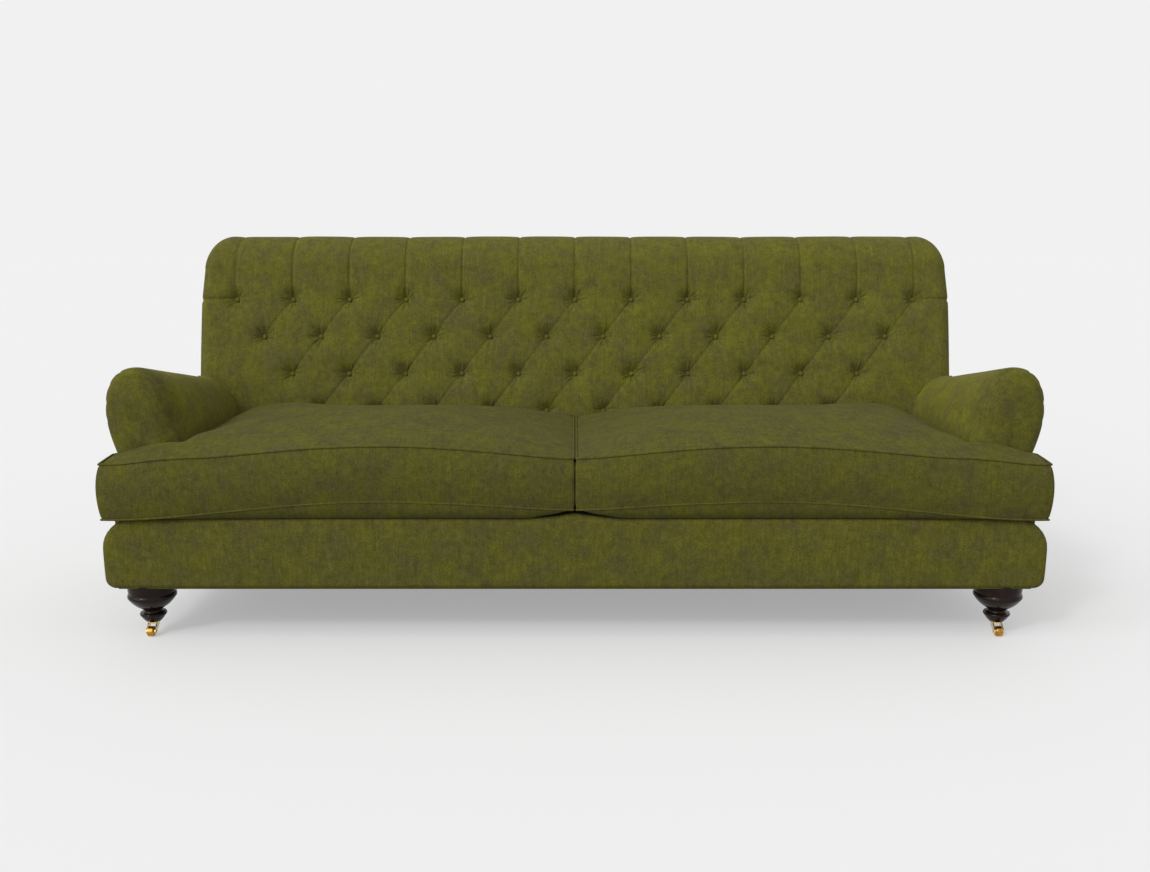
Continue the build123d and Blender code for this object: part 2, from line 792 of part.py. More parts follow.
main_stations = [cushion_inner + (cushion_arm - cushion_inner) * share for share in cushion_shares]
wing_stations = [wing_start + (wing_reach - wing_start) * share for share in wing_shares]
cushion_stations = [(x, False) for x in main_stations] + [(x, True) for x in wing_stations]
core_rear = rake_y_at(cushion_bottom, pad_depth) - core_inset
for hand, side in hands:
    with BuildPart() as cushion:
        for x, in_wing in cushion_stations:
            at = cushion_profile(x, in_wing)
            with BuildSketch(Plane.YZ.offset(side * x)):
                with BuildLine():
                    Line(at["heel"], at["toe"])
                    ThreePointArc(at["toe"], at["face"], at["seam"])
                    ThreePointArc(at["seam"], at["crown"], at["back"])
                    Line(at["back"], at["heel"])
                make_face()
        loft(ruled=True)
        # pocket for the foam core
        with BuildSketch(Plane.YZ.offset(side * (cushion_inner + core_inset))):
            side_block(
                front + core_inset,
                core_rear,
                cushion_bottom + core_lift,
                cushion_bottom + core_lift + core_height,
            )
        extrude(amount=side * (cushion_arm - cushion_inner - 2 * core_inset), mode=Mode.SUBTRACT)
    save(cushion, f"{hand}_seat_cushion")

    with BuildPart() as core:
        with BuildSketch(Plane.YZ.offset(side * (cushion_inner + core_inset + soft_gap))):
            side_block(
                front + core_inset + soft_gap,
                core_rear - soft_gap,
                cushion_bottom + core_lift + soft_gap,
                cushion_bottom + core_lift + core_height - soft_gap,
            )
        extrude(amount=side * (cushion_arm - cushion_inner - 2 * core_inset - 2 * soft_gap))
    save(core, f"{hand}_cushion_core")

# Turned front legs: collar, bulb, neck and ring, bored for the bolt and the castor socket
leg_height = underside_height - castor_height
for hand, side in hands:
    leg_x = side * front_leg_x
    with BuildPart() as leg:
        foot = (leg_x, front_leg_y, castor_height)
        with BuildSketch(Plane(origin=foot, x_dir=(1, 0, 0), z_dir=(0, -1, 0))):
            ring_lip = ring_radius - ring_round / 2
            flare = (flare_radius, flare_rise)
            groove = leg_height - collar_height
            with BuildLine():
                Line((0, 0), (foot_radius, 0))
                ThreePointArc(
                    (foot_radius, 0),
                    ((foot_radius + ring_lip + taper_swell) / 2, (ring_rise - ring_round) / 2),
                    (ring_lip, ring_rise - ring_round),
                )
                ThreePointArc(
                    (ring_lip, ring_rise - ring_round),
                    (ring_radius, ring_rise),
                    (ring_lip, ring_rise + ring_round),
                )
                ThreePointArc((ring_lip, ring_rise + ring_round), (neck_radius, neck_rise), flare)
                ThreePointArc(flare, (belly_radius, belly_rise), (bulb_radius, bulb_rise))
                ThreePointArc(
                    (bulb_radius, bulb_rise),
                    (bulb_radius, (bulb_rise + groove) / 2),
                    (groove_radius, groove),
                )
                ThreePointArc(
                    (groove_radius, groove),
                    (collar_radius, groove + collar_height / 2),
                    (collar_radius, leg_height),
                )
                Line((collar_radius, leg_height), (0, leg_height))
                Line((0, leg_height), (0, 0))
            make_face()
        revolve(axis=Axis((leg_x, front_leg_y, 0), (0, 0, 1)))
        with BuildSketch(Plane.XY.offset(underside_height)):
            with Locations((leg_x, front_leg_y)):
                Circle(bolt_radius + bolt_gap)
        extrude(amount=-bolt_in_leg - frame_gap, mode=Mode.SUBTRACT)
        with BuildSketch(Plane.XY.offset(castor_height)):
            with Locations((leg_x, front_leg_y)):
                Circle(socket_radius + bolt_gap)
        extrude(amount=socket_depth + frame_gap, mode=Mode.SUBTRACT)
    save(leg, f"front_{hand}_leg")

# Square rear legs, tapered and swept back, bored for the bolt
for hand, side in hands:
    with BuildPart() as rear_leg:
        with BuildSketch(Plane.XY.offset(underside_height)):
            with Locations((side * rear_leg_x, rear_leg_y)):
                Rectangle(rear_leg_top, rear_leg_top)
        with BuildSketch(Plane.XY.offset(glide_thickness)):
            with Locations((side * rear_leg_x, rear_leg_y + rear_leg_splay)):
                Rectangle(rear_leg_foot, rear_leg_foot)
        loft()
        with BuildSketch(Plane.XY.offset(underside_height)):
            with Locations((side * rear_leg_x, rear_leg_y)):
                Circle(bolt_radius + bolt_gap)
        extrude(amount=-bolt_in_leg - frame_gap, mode=Mode.SUBTRACT)
    save(rear_leg, f"rear_{hand}_leg")

with BuildPart() as glides:
    with BuildSketch(Plane.XY):
        with Locations(*[(side * rear_leg_x, rear_leg_y + rear_leg_splay) for _, side in hands]):
            Circle(glide_radius)
    extrude(amount=glide_thickness)
save(glides, "rear_glides")

# Hanger bolts hold the four legs to the rails
with BuildPart() as bolts:
    with BuildSketch(Plane.XY.offset(underside_height - bolt_in_leg)):
        with Locations(*leg_spots):
            Circle(bolt_radius)
    extrude(amount=bolt_in_leg + dust_thickness + bolt_in_rail)
save(bolts, "leg_bolts")

# Castors: a flanged socket in the leg, a swivelling fork on a stem, an axle and a wheel
socket_face = castor_height - socket_flange
crown_top = socket_face - running_gap
crown_bottom = crown_top - crown_thickness
fork_inner = wheel_width / 2 + wheel_side_gap
fork_outer = fork_inner + fork_thickness
axle_y = front_leg_y - castor_trail
for hand, side in hands:
    leg_x = side * front_leg_x
    with BuildPart() as socket:
        with BuildSketch(Plane.XY.offset(socket_face)):
            with Locations((leg_x, front_leg_y)):
                Circle(socket_flange_radius)
                Circle(stem_radius + running_gap, mode=Mode.SUBTRACT)
        extrude(amount=socket_flange)
        with BuildSketch(Plane.XY.offset(castor_height)):
            with Locations((leg_x, front_leg_y)):
                Circle(socket_radius)
                Circle(stem_radius + running_gap, mode=Mode.SUBTRACT)
        extrude(amount=socket_depth)
    save(socket, f"{hand}_castor_socket")

    with BuildPart() as fork:
        with BuildSketch(Plane.XY.offset(crown_bottom)):
            with Locations((leg_x, front_leg_y)):
                Circle(crown_radius)
        extrude(amount=crown_thickness)
        with BuildSketch(Plane.XY.offset(crown_top)):
            with Locations((leg_x, front_leg_y)):
                Circle(stem_radius)
        extrude(amount=stem_length)
        for cheek in (-fork_outer, fork_inner):
            with BuildSketch(Plane.YZ.offset(leg_x + cheek)):
                with Locations((axle_y, wheel_radius)):
                    Circle(fork_eye_radius)
                with Locations((front_leg_y, crown_top - crown_thickness / 2)):
                    Rectangle(fork_neck, crown_thickness)
                make_hull()
            extrude(amount=fork_thickness)
        with BuildSketch(Plane.XY.offset(crown_bottom)):
            with Locations((leg_x, front_leg_y)):
                Rectangle(2 * fork_outer, fork_neck)
        extrude(amount=crown_thickness)
        with BuildSketch(Plane.YZ.offset(leg_x - fork_outer)):
            with Locations((axle_y, wheel_radius)):
                Circle(axle_radius + running_gap)
        extrude(amount=2 * fork_outer, mode=Mode.SUBTRACT)
    save(fork, f"{hand}_castor_fork")

    with BuildPart() as axle:
        with BuildSketch(Plane.YZ.offset(leg_x - fork_outer)):
            with Locations((axle_y, wheel_radius)):
                Circle(axle_radius)
        extrude(amount=2 * fork_outer)
        for face, out in ((fork_outer, 1), (-fork_outer, -1)):
            with BuildSketch(Plane.YZ.offset(leg_x + face)):
                with Locations((axle_y, wheel_radius)):
                    Circle(axle_radius + axle_head)
            extrude(amount=out * axle_head)
    save(axle, f"{hand}_castor_axle")

    with BuildPart() as wheel:
        with BuildSketch(Plane.YZ.offset(leg_x - wheel_width / 2)):
            with Locations((axle_y, wheel_radius)):
                Circle(wheel_radius)
        extrude(amount=wheel_width)
        fillet(wheel.edges().filter_by(GeomType.CIRCLE), wheel_edge)
        with Locations(Plane(origin=(leg_x, axle_y, wheel_radius), z_dir=(1, 0, 0))):
            Hole(axle_radius + running_gap)
    save(wheel, f"{hand}_castor_wheel")
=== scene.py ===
import math

import bmesh
import bpy
from mathutils import Matrix, Vector, noise


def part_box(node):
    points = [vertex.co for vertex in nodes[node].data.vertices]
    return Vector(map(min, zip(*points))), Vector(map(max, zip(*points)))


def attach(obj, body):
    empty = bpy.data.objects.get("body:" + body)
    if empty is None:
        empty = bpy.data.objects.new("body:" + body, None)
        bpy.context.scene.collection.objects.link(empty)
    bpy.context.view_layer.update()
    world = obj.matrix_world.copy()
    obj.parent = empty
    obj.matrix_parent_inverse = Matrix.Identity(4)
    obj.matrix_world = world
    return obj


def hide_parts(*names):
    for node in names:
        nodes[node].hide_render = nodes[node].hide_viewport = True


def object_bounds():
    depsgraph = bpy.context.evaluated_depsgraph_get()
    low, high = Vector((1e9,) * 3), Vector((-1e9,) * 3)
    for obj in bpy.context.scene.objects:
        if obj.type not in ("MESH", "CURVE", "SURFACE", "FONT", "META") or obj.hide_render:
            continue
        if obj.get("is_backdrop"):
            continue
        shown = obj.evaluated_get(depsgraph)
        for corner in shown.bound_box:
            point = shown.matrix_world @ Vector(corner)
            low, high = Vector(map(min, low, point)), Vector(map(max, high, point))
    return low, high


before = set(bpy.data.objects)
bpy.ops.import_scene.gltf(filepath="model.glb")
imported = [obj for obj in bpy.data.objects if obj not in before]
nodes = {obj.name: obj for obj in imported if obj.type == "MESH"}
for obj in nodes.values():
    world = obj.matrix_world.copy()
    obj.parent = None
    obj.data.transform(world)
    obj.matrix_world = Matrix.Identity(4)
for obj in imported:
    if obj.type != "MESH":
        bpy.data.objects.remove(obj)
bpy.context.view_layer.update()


# Timber frame
# Birch rails, posts and blocks, glued and screwed together, with the covers tacked to them.
# The covers close it in, so the pieces keep their own shapes in raw planed timber.
hands = (("left", -1), ("right", 1))


def shade(red, green, blue):
    """A colour as it shows on screen, 0 to 255, turned into light."""
    light = [((part / 255 + 0.055) / 1.055) ** 2.4 for part in (red, green, blue)]
    return (*light, 1)


def node(tree, kind, links=(), **settings):
    """One shader node, with its inputs as numbers, colours or another node's output."""
    made = tree.nodes.new("ShaderNode" + kind)
    for name, value in settings.items():
        setattr(made, name, value)
    for name, value in dict(links).items():
        if isinstance(value, bpy.types.NodeSocket):
            tree.links.new(value, made.inputs[name])
        else:
            made.inputs[name].default_value = value
    return made


def start_finish(name, **sockets):
    """A new material, its node tree and its shader, with what is the same all over already set."""
    material = bpy.data.materials.new(name)
    material.use_nodes = True
    shader = material.node_tree.nodes["Principled BSDF"]
    for socket, value in sockets.items():
        shader.inputs[socket.replace("_", " ")].default_value = value
    return material, material.node_tree, shader


def cloud(tree, stretch, detail=4, roughness=0.6):
    """Soft noise on the piece's own coordinates, with so many features to a metre along each axis."""
    place = node(tree, "TexCoord").outputs["Object"]
    spread = node(tree, "Mapping", {"Vector": place, "Scale": stretch}).outputs["Vector"]
    settings = {"Vector": spread, "Scale": 1.0, "Detail": detail, "Roughness": roughness}
    return node(tree, "TexNoise", settings).outputs["Fac"]


def ramp(tree, factor, *stops):
    """A colour for each value, between stops of a place and a colour."""
    made = node(tree, "ValToRGB", {"Fac": factor})
    band = made.color_ramp
    while len(band.elements) < len(stops):
        band.elements.new(0.5)
    for element, (place, colour) in zip(band.elements, stops):
        element.position = place
        element.color = colour
    return made.outputs["Color"]


def multiplied(tree, share, first, second):
    """A colour multiplied by another, as far as the share says."""
    links = {0: share, 6: first, 7: second}
    return node(tree, "Mix", links, data_type="RGBA", blend_type="MULTIPLY").outputs[2]


def relief(tree, height, strength, distance):
    """A bumped normal from a height pattern."""
    links = {"Height": height, "Strength": strength, "Distance": distance}
    return node(tree, "Bump", links).outputs["Normal"]


def wire(tree, shader, **sockets):
    """Leads patterns into the sockets of a shader."""
    for socket, value in sockets.items():
        tree.links.new(value, shader.inputs[socket.replace("_", " ")])


def clouded(name, stretch, detail, dark, light, bump, **sockets):
    """A finish of one pattern, which runs from a dark colour to a light one and raises the surface."""
    material, tree, shader = start_finish(name, **sockets)
    pattern = cloud(tree, stretch, *detail)
    colour = ramp(tree, pattern, (0.3, shade(*dark)), (0.7, shade(*light)))
    wire(tree, shader, Base_Color=colour, Normal=relief(tree, pattern, *bump))
    return material


def dress(names, material):
    """Gives solids that keep their own shape a finish."""
    for name in names:
        nodes[name].data.materials.clear()
        nodes[name].data.materials.append(material)


rails = ["frame_front_rail", "frame_rear_rail", "frame_centre_rail", "frame_corner_blocks"]
rails += [f"frame_{hand}_end_rail" for hand, _ in hands]
back_timber = ["back_top_rail", "back_tuck_rail", "back_centre_post"]
back_timber += [f"back_{hand}_post" for hand, _ in hands]
arm_timber = [f"{hand}_arm_{part}" for hand, _ in hands for part in ("post", "rail")]
# the grain runs along the sofa
planed_birch = clouded(
    "planed_birch", stretch=(5, 130, 130), detail=(6, 0.65), bump=(0.3, 0.0006),
    dark=(168, 134, 92), light=(205, 176, 132), Roughness=0.72,
)
dress(rails + back_timber + arm_timber, planed_birch)


# Webbing
# Jute straps, 50 mm wide, stretched over the rails and tacked, lengthways, crossways and up the back.
# They stay flat, so only the coarse brown weave is added.
def woven(name, threads, slubs, dark, light, hollow, share, bump):
    """A plain weave with so many threads and slubs to a metre, darker in the hollows between threads."""
    material, tree, shader = start_finish(name, Roughness=0.9, Sheen_Weight=0.1)
    weave = cloud(tree, (threads, threads, threads), 2, 0.5)
    cloth = ramp(tree, cloud(tree, (slubs, slubs, slubs)), (0.3, shade(*dark)), (0.7, shade(*light)))
    hollows = ramp(tree, weave, (0.35, (hollow, hollow, hollow, 1)), (0.65, (1, 1, 1, 1)))
    colour = multiplied(tree, share, cloth, hollows)
    wire(tree, shader, Base_Color=colour, Normal=relief(tree, weave, *bump))
    return material


jute = woven(
    "jute_webbing", threads=420, slubs=24, hollow=0.6, share=0.8, bump=(0.5, 0.0008),
    dark=(112, 88, 58), light=(150, 122, 84),
)
dress(["seat_webbing_lengthways", "seat_webbing_crossways", "back_webbing"], jute)


# Dust cover
# Black woven lining stapled under the rails, which keeps dust out of the seat.
# It is stretched flat, so the solid stays and gets a faint open weave.
black_lining = clouded(
    "black_lining", stretch=(700, 700, 700), detail=(2, 0.5), bump=(0.4, 0.0005),
    dark=(22, 21, 21), light=(44, 43, 42), Roughness=0.95, Sheen_Weight=0.15,
)
dress(["dust_cover"], black_lining)


# Padded deck
# Cotton felt under plain olive lining, drawn over the webbing, with wings that run in front of the arms.
# It shows when a cushion is lifted off, and as a strip below the wings at the sides.
deck_lining = woven(
    "deck_lining", threads=600, slubs=12, hollow=0.8, share=0.7, bump=(0.4, 0.0006),
    dark=(68, 66, 22), light=(84, 82, 28),
)


def drawn_panel(outline, out, thickness, turn, rounds=None):
    """A padded board, cut to an outline with rounded corners and covered, with its outer edge turned."""
    bm = bmesh.new()
    corners = [bm.verts.new(point) for point in outline]
    bm.faces.new(corners)
    for radius in sorted(set(rounds or ()) - {0}):
        picked = [corner for corner, own in zip(corners, rounds) if own == radius]
        bmesh.ops.bevel(
            bm, geom=picked, offset=radius, affect="VERTICES", segments=8, profile=0.5, material=-1
        )
    bm.faces.ensure_lookup_table()
    made = bmesh.ops.extrude_face_region(bm, geom=[bm.faces[0]])["geom"]
    moved = [item for item in made if isinstance(item, bmesh.types.BMVert)]
    bmesh.ops.translate(bm, verts=moved, vec=out * thickness)
    outer = next(item for item in made if isinstance(item, bmesh.types.BMFace))
    bmesh.ops.bevel(
        bm, geom=list(outer.edges), offset=turn, affect="EDGES", segments=5, profile=0.5, material=-1
    )
    return bm


def both_halves(right):
    """An outline from its right half, which runs from the front or the bottom to the other end."""
    return right + [(-x, other) for x, other in reversed(right)]


def slice_up(bm, axis, low, high, step):
    """Cuts a mesh square to an axis at even steps, so that its flat faces can swell."""
    count = round((high - low) / step)
    for cut in range(1, count):
        place = low + (high - low) * cut / count
        everything = bm.verts[:] + bm.edges[:] + bm.faces[:]
        bmesh.ops.bisect_plane(bm, geom=everything, plane_co=axis * place, plane_no=axis)


def put(name, data):
    """An object for a mesh, curve, lamp or camera, put in the scene."""
    made = bpy.data.objects.new(name, data)
    bpy.context.scene.collection.objects.link(made)
    return made


def make_piece(bm, name, material, body, replaced=()):
    """Turns a finished mesh, with its faces outwards, into a piece of the sofa that moves with its body."""
    bmesh.ops.recalc_face_normals(bm, faces=bm.faces)
    mesh = bpy.data.meshes.new(name)
    bm.to_mesh(mesh)
    bm.free()
    mesh.polygons.foreach_set("use_smooth", [True] * len(mesh.polygons))
    mesh.materials.append(material)
    piece = put(name, mesh)
    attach(piece, body)
    if replaced:
        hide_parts(*replaced)
    return piece


along, deep, up = Vector((1, 0, 0)), Vector((0, 1, 0)), Vector((0, 0, 1))
deck_low, deck_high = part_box("seat_deck")
arm_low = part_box("right_arm_pad")[0]
cover_gap = 0.0003
deck_turn = 0.008
deck_side = arm_low.x - cover_gap
deck_step = arm_low.y - cover_gap
deck_half = [
    (deck_high.x, deck_low.y),
    (deck_high.x, deck_step),
    (deck_side, deck_step),
    (deck_side, deck_high.y),
]
deck_depth = deck_high.z - deck_low.z
deck_outline = [(x, y, deck_low.z) for x, y in both_halves(deck_half)]
deck_mesh = drawn_panel(deck_outline, up, deck_depth, deck_turn)
deck = make_piece(deck_mesh, "padded_deck", deck_lining, "sofa", ["seat_deck"])


# Front border
# A padded board across the front of the base, covered in the sofa's olive velvet, with rounded upper
# corners. The cover is drawn under it and hemmed along the bottom edge.
def velvet(name, stretch, painted_light_level, painted_lift_depths=None):
    """Olive velvet: clouded pile, fine ribs along the warp and a pale bloom at a low angle. Each piece's
    colour is scaled by a painted light level, and where depths are given it is painted lighter from one to
    the other."""
    material, tree, shader = start_finish(
        name, Roughness=0.85, Specular_IOR_Level=0.12,
        Sheen_Weight=0.06, Sheen_Roughness=0.4, Sheen_Tint=shade(214, 208, 170),
    )
    patches = cloud(tree, (17, 17, 17), 5, 0.65)
    mottle = cloud(tree, (60, 60, 60), 6, 0.8)
    ribs = cloud(tree, stretch, 3, 0.6)
    pile = cloud(tree, (420, 420, 420), 2, 0.5)
    tones = ((0.36, (84, 80, 40)), (0.5, (88, 86, 34)), (0.64, (93, 91, 30)))
    # painted light: the velvet's tones are scaled by each piece's painted light level
    painted_tones = [(place, shade(*(painted_light_level * part for part in tone))) for place, tone in tones]
    colour = ramp(tree, patches, *painted_tones)
    for pattern, dark, light in ((mottle, 0.74, 1.24), (ribs, 0.88, 1.10), (pile, 0.74, 1.2)):
        tone = ramp(tree, pattern, (0.32, (dark, dark, dark, 1)), (0.68, (light, light, light, 1)))
        colour = multiplied(tree, 1.0, colour, tone)
    # painted light: 0.93 as bright before the first depth, up to 1.36 past the second, to lift the shaded
    # inner sides
    if painted_lift_depths:
        depth = node(tree, "SeparateXYZ", {0: node(tree, "TexCoord").outputs["Object"]}).outputs["Y"]
        links = {"Value": depth, "From Min": painted_lift_depths[0], "From Max": painted_lift_depths[1]}
        painted_lift_share = node(tree, "MapRange", links).outputs["Result"]
        tone = ramp(tree, painted_lift_share, (0, (0.93, 0.93, 0.93, 1)), (1, (1.36, 1.36, 1.18, 1)))
        colour = multiplied(tree, 1.0, colour, tone)
    coarse = relief(tree, mottle, 0.25, 0.002)
    fine = node(tree, "Bump", {"Height": pile, "Strength": 0.35, "Distance": 0.0006, "Normal": coarse})
    wire(tree, shader, Base_Color=colour, Normal=fine.outputs["Normal"])
    return material


# painted light: the border's velvet is painted at 0.99 of the velvet's tones
border_velvet = velvet("velvet_border", (260, 20, 20), 0.99)
border_low, border_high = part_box("front_border")
border_turn = 0.012
border_puff = 0.004
border_side_puff = 0.003
border_ripple = 0.0012
border_end = 0.12  # how far in from each end the puff dies away
border_rounds = [0.024, 0.074, 0.074, 0.024]  # from the lower right corner to the lower left
border_drop = 0.004
border_lip = 0.013
border_middle = 0.12  # the lip's reach each way from the middle
lip_level = 0.85
border_foot = border_low.z - border_drop
border_height = border_high.z - border_foot
border_half = [(border_high.x, border_foot), (border_high.x, border_high.z)]
border_outline = [(x, border_high.y, z) for x, z in both_halves(border_half)]
border_depth = border_high.y - border_low.y
border = drawn_panel(border_outline, -deep, border_depth, border_turn, border_rounds)
slice_up(border, along, border_low.x, border_high.x, 0.03)
slice_up(border, up, border_foot, border_high.z, 0.012)
for vert in border.verts:
    level = (vert.co.z - border_foot) / border_height
    across = 1 - min((border_high.x - abs(vert.co.x)) / border_end, 1)
    face = min(max((border_high.y - vert.co.y) / border_depth, 0), 1)
    fullness = max(math.sin(math.pi * level), 0) ** 0.7
    ripple = noise.noise(Vector((vert.co.x * 5, 0, vert.co.z * 9)))
    lip = max(1 - abs(vert.co.x) / border_middle, 0) ** 1.6 * min(face / 0.7, 1)
    vert.co.z += border_lip * lip * max(level - lip_level, 0) / (1 - lip_level)
    vert.co.y -= face * (border_puff * fullness * (1 - across**2) + border_ripple * ripple * fullness)
    vert.co.x += math.copysign(border_side_puff * fullness * across, vert.co.x)
front_border = make_piece(border, "front_border_cover", border_velvet, "sofa", ["front_border"])


def welt(points, radius, closed):
    """A tube of cloth over cord, along points, as a mesh."""
    line = bpy.data.curves.new("welt_line", "CURVE")
    line.dimensions = "3D"
    line.bevel_depth = radius
    line.bevel_resolution = 3
    line.use_fill_caps = True
    spline = line.splines.new("POLY")
    spline.points.add(len(points) - 1)
    for point, place in zip(spline.points, points):
        point.co = (*place, 1)
    spline.use_cyclic_u = closed
    holder = put("welt_holder", line)
    bpy.context.view_layer.update()
    tube = bpy.data.meshes.new_from_object(holder.evaluated_get(bpy.context.evaluated_depsgraph_get()))
    bm = bmesh.new()
    bm.from_mesh(tube)
    bpy.data.objects.remove(holder)
    bpy.data.curves.remove(line)
    bpy.data.meshes.remove(tube)
    bmesh.ops.remove_doubles(bm, verts=bm.verts, dist=1e-6)
    return bm


hem_radius = 0.0028
hem_end = border_high.x - 0.03
hem_steps = 40
hem_y = border_low.y + border_turn * 0.62
hem_z = border_foot + hem_radius * 0.6
hem_line = [(hem_end * step / hem_steps, hem_y, hem_z) for step in range(-hem_steps, hem_steps + 1)]
make_piece(welt(hem_line, hem_radius, False), "front_border_hem", border_velvet, "sofa")


# Outside arms and outside back
# Flat velvet panels over board, blind-tacked under the rolls and closed at the corners by hand stitching.
# The outside back is wide below the arms and narrower above them.
sofa_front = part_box("left_seat_cushion")[0].y
# painted light: the back's velvet is painted 1.04 as bright, lifting the shade the arms and cushions cast
# on it
back_velvet = velvet("velvet_back", (260, 20, 20), 1.04)
seat_depth = 0.600
seat_datum = 0.474
pad_depth = 0.135
rake = math.radians(12)
rake_sin, rake_cos = math.sin(rake), math.cos(rake)
rake_y = sofa_front + seat_depth + pad_depth * rake_cos
rake_z = seat_datum - pad_depth * rake_sin
cover_rear = 0.0732
border_swell = 0.005
roll_overhang = 0.022
arm_width = 0.188
wing_depth = 0.107
base_half = border_high.x - border_swell
outer_half = base_half + roll_overhang
seat_half = outer_half - arm_width
arm_front = sofa_front + wing_depth
# painted light: the arm velvet is painted 1.03 as bright, darker on the scroll front and lighter behind it
arm_velvet = velvet("velvet_arm", (20, 260, 20), 1.03, (arm_front + 0.01, arm_front + 0.09))
arm_front_height = 0.652
arm_rear_height = 0.566
arm_run = 0.493
arm_slope = (arm_front_height - arm_rear_height) / arm_run
panel_thickness = 0.012
panel_turn = 0.004


def raked(x, rise, proud):
    """A point so far up the rake of the back and so far in front of its frame."""
    y = rake_y + rise * rake_sin - proud * rake_cos
    z = rake_z + rise * rake_cos + proud * rake_sin
    return Vector((x, y, z))


def rise_at(height, proud):
    """How far up the rake a height lies, on the plane that stands so proud."""
    return (height - rake_z - proud * rake_sin) / rake_cos


def rake_y_at(height, proud):
    """Depth of the raked plane at a height."""
    return raked(0, rise_at(height, proud), proud).y


def arm_height(y):
    """Height of the arm's ridge, which falls towards the rear."""
    return arm_front_height - arm_slope * (y - arm_front)


def slope_meets_rake(height, proud):
    """Side view (y, z) where a line that falls like the arm, from a height at its front, meets the rake."""
    slant = arm_slope * rake_sin / rake_cos
    y = (rake_y_at(height, proud) + slant * arm_front) / (1 + slant)
    return y, height - arm_slope * (y - arm_front)


def swell_panel(bm, out, reach, puff, lows, highs):
    """Lets the outer face of a panel stand out a little in its middle."""
    outer = max(vert.co.dot(out) for vert in bm.verts)
    for vert in bm.verts:
        if outer - vert.co.dot(out) < reach:
            rise = 1
            for axis, low, high in zip((0, 1, 2), lows, highs):
                if high > low:
                    share = (vert.co[axis] - low) / (high - low)
                    rise *= max(1 - abs(2 * share - 1) ** 4, 0)
            ripple = 1 + 0.5 * noise.noise(vert.co * 6)
            vert.co += out * puff * rise * ripple


neck_drop = 0.208
panel_gap = 0.0006
panel_rounds = [0, 0, 0, 0.05, 0, 0.005]
panel_puff = 0.002
face_depth = 0.001  # what lies this close to the outermost point is the panel's face
for hand, side in hands:
    low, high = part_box(f"{hand}_outside_arm")
    inner_x = side * (base_half - panel_thickness)
    top_front = arm_height(arm_front) - neck_drop - panel_gap
    side_outline = [
        (inner_x, low.y, low.z),
        (inner_x, rake_y_at(low.z, -cover_rear), low.z),
        (inner_x, *slope_meets_rake(top_front, -cover_rear)),
        (inner_x, arm_front, top_front),
        (inner_x, arm_front, deck_low.z),
        (inner_x, low.y, deck_low.z),
    ]
    panel = drawn_panel(side_outline, along * side, panel_thickness, panel_turn, panel_rounds)
    slice_up(panel, deep, low.y, high.y, 0.04)
    slice_up(panel, up, low.z, high.z, 0.03)
    swell_panel(panel, along * side, face_depth, panel_puff, (0, low.y, low.z), (0, high.y, high.z))
    name = f"{hand}_outside_arm"
    cover = make_piece(panel, f"{name}_cover", arm_velvet, "sofa", [name])

back_inset = 0.062
roll_rise = 0.4028
lip_drop = 0.030
shoulder_height = 0.486
shoulder_lift = 0.004
outside_back_thickness = 0.008
outside_back_turn = 0.0035
outside_back_puff = 0.0025
back_half = outer_half - back_inset
lip_rise = roll_rise - lip_drop
back_low, back_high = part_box("outside_back")
shoulder_rise = rise_at(shoulder_height, -cover_rear)
low_rise = rise_at(back_low.z, -cover_rear)
outside_back_half = [
    (base_half, low_rise),
    (base_half, shoulder_rise),
    (back_half, shoulder_rise + shoulder_lift),
    (back_half, lip_rise - cover_gap),
]
rearward = Vector((0, rake_cos, -rake_sin))
upslope = Vector((0, rake_sin, rake_cos))
back_corners = [raked(x, rise, -cover_rear) for x, rise in both_halves(outside_back_half)]
panel = drawn_panel(back_corners, rearward, outside_back_thickness, outside_back_turn)
slice_up(panel, along, -base_half, base_half, 0.05)
origin_rise = raked(0, 0, 0).dot(upslope)
slice_up(panel, upslope, origin_rise + low_rise, origin_rise + lip_rise, 0.04)
back_lows, back_highs = (-base_half, 0, back_low.z), (base_half, 0, back_high.z)
swell_panel(panel, rearward, face_depth, outside_back_puff, back_lows, back_highs)
cover = make_piece(panel, "outside_back_cover", back_velvet, "sofa", ["outside_back"])


# Arms
# Roll arms stuffed over a sloping rail, covered in one piece that is drawn round a soft scroll front.
# The roll falls and narrows towards the back, and stops against the inside back.
def lattice(columns, rows, place):
    """A sheet of quads, with each crossing put where place(column, row) says."""
    bm = bmesh.new()
    bmesh.ops.create_grid(bm, x_segments=columns, y_segments=rows, size=1)
    for vert in bm.verts:
        column = round((vert.co.x + 1) / 2 * columns)
        row = round((vert.co.y + 1) / 2 * rows)
        vert.co = place(column, row)
    return bm


arm_ridge = outer_half - 0.080
arm_lean = 0.008
arm_rear_draw = 0.017
roll_drop = 0.106
roll_power = 2.3
shoulder_drop = 0.150
arm_wall_x = base_half - panel_thickness - 0.0005
arm_foot = deck_low.z
scroll_depth = 0.050
scroll_power = 3.2
pleat_angles = (62, 34, 8, -20)
pleat_depth = 0.0022
pleat_spread = 3.2  # degrees
pleat_reach = 0.16
arm_lump = 0.0016
rear_flare, flare_start = 0.006, 0.84  # the roll flares over the last of its length
soft_front = 0.26  # share by which the inner side of the scroll is drawn in
soft_reach = 0.13
soft_height, soft_fade = 0.45, 0.06
foot_fade = 0.1  # the slope dies away over this height above the foot
arm_tuck = 0.012  # how far the roll runs in past the front of the inside back
arm_clear = 0.0008
meeting_height = 0.5  # where the roll meets the back, near enough to space the rows
arm_spans = (
    ("inside", 14), ("inner_roll", 22), ("outer_roll", 20), ("under_roll", 16),
    ("tuck", 2), ("wall", 8), ("floor", 8),
)
arm_columns = sum(count for _, count in arm_spans)


def find_span(spans, step):
    """The span that a step falls in, the steps it has gone into it and the share of it that they are."""
    for span, count in spans:
        if step <= count:
            return span, step, step / count
        step -= count


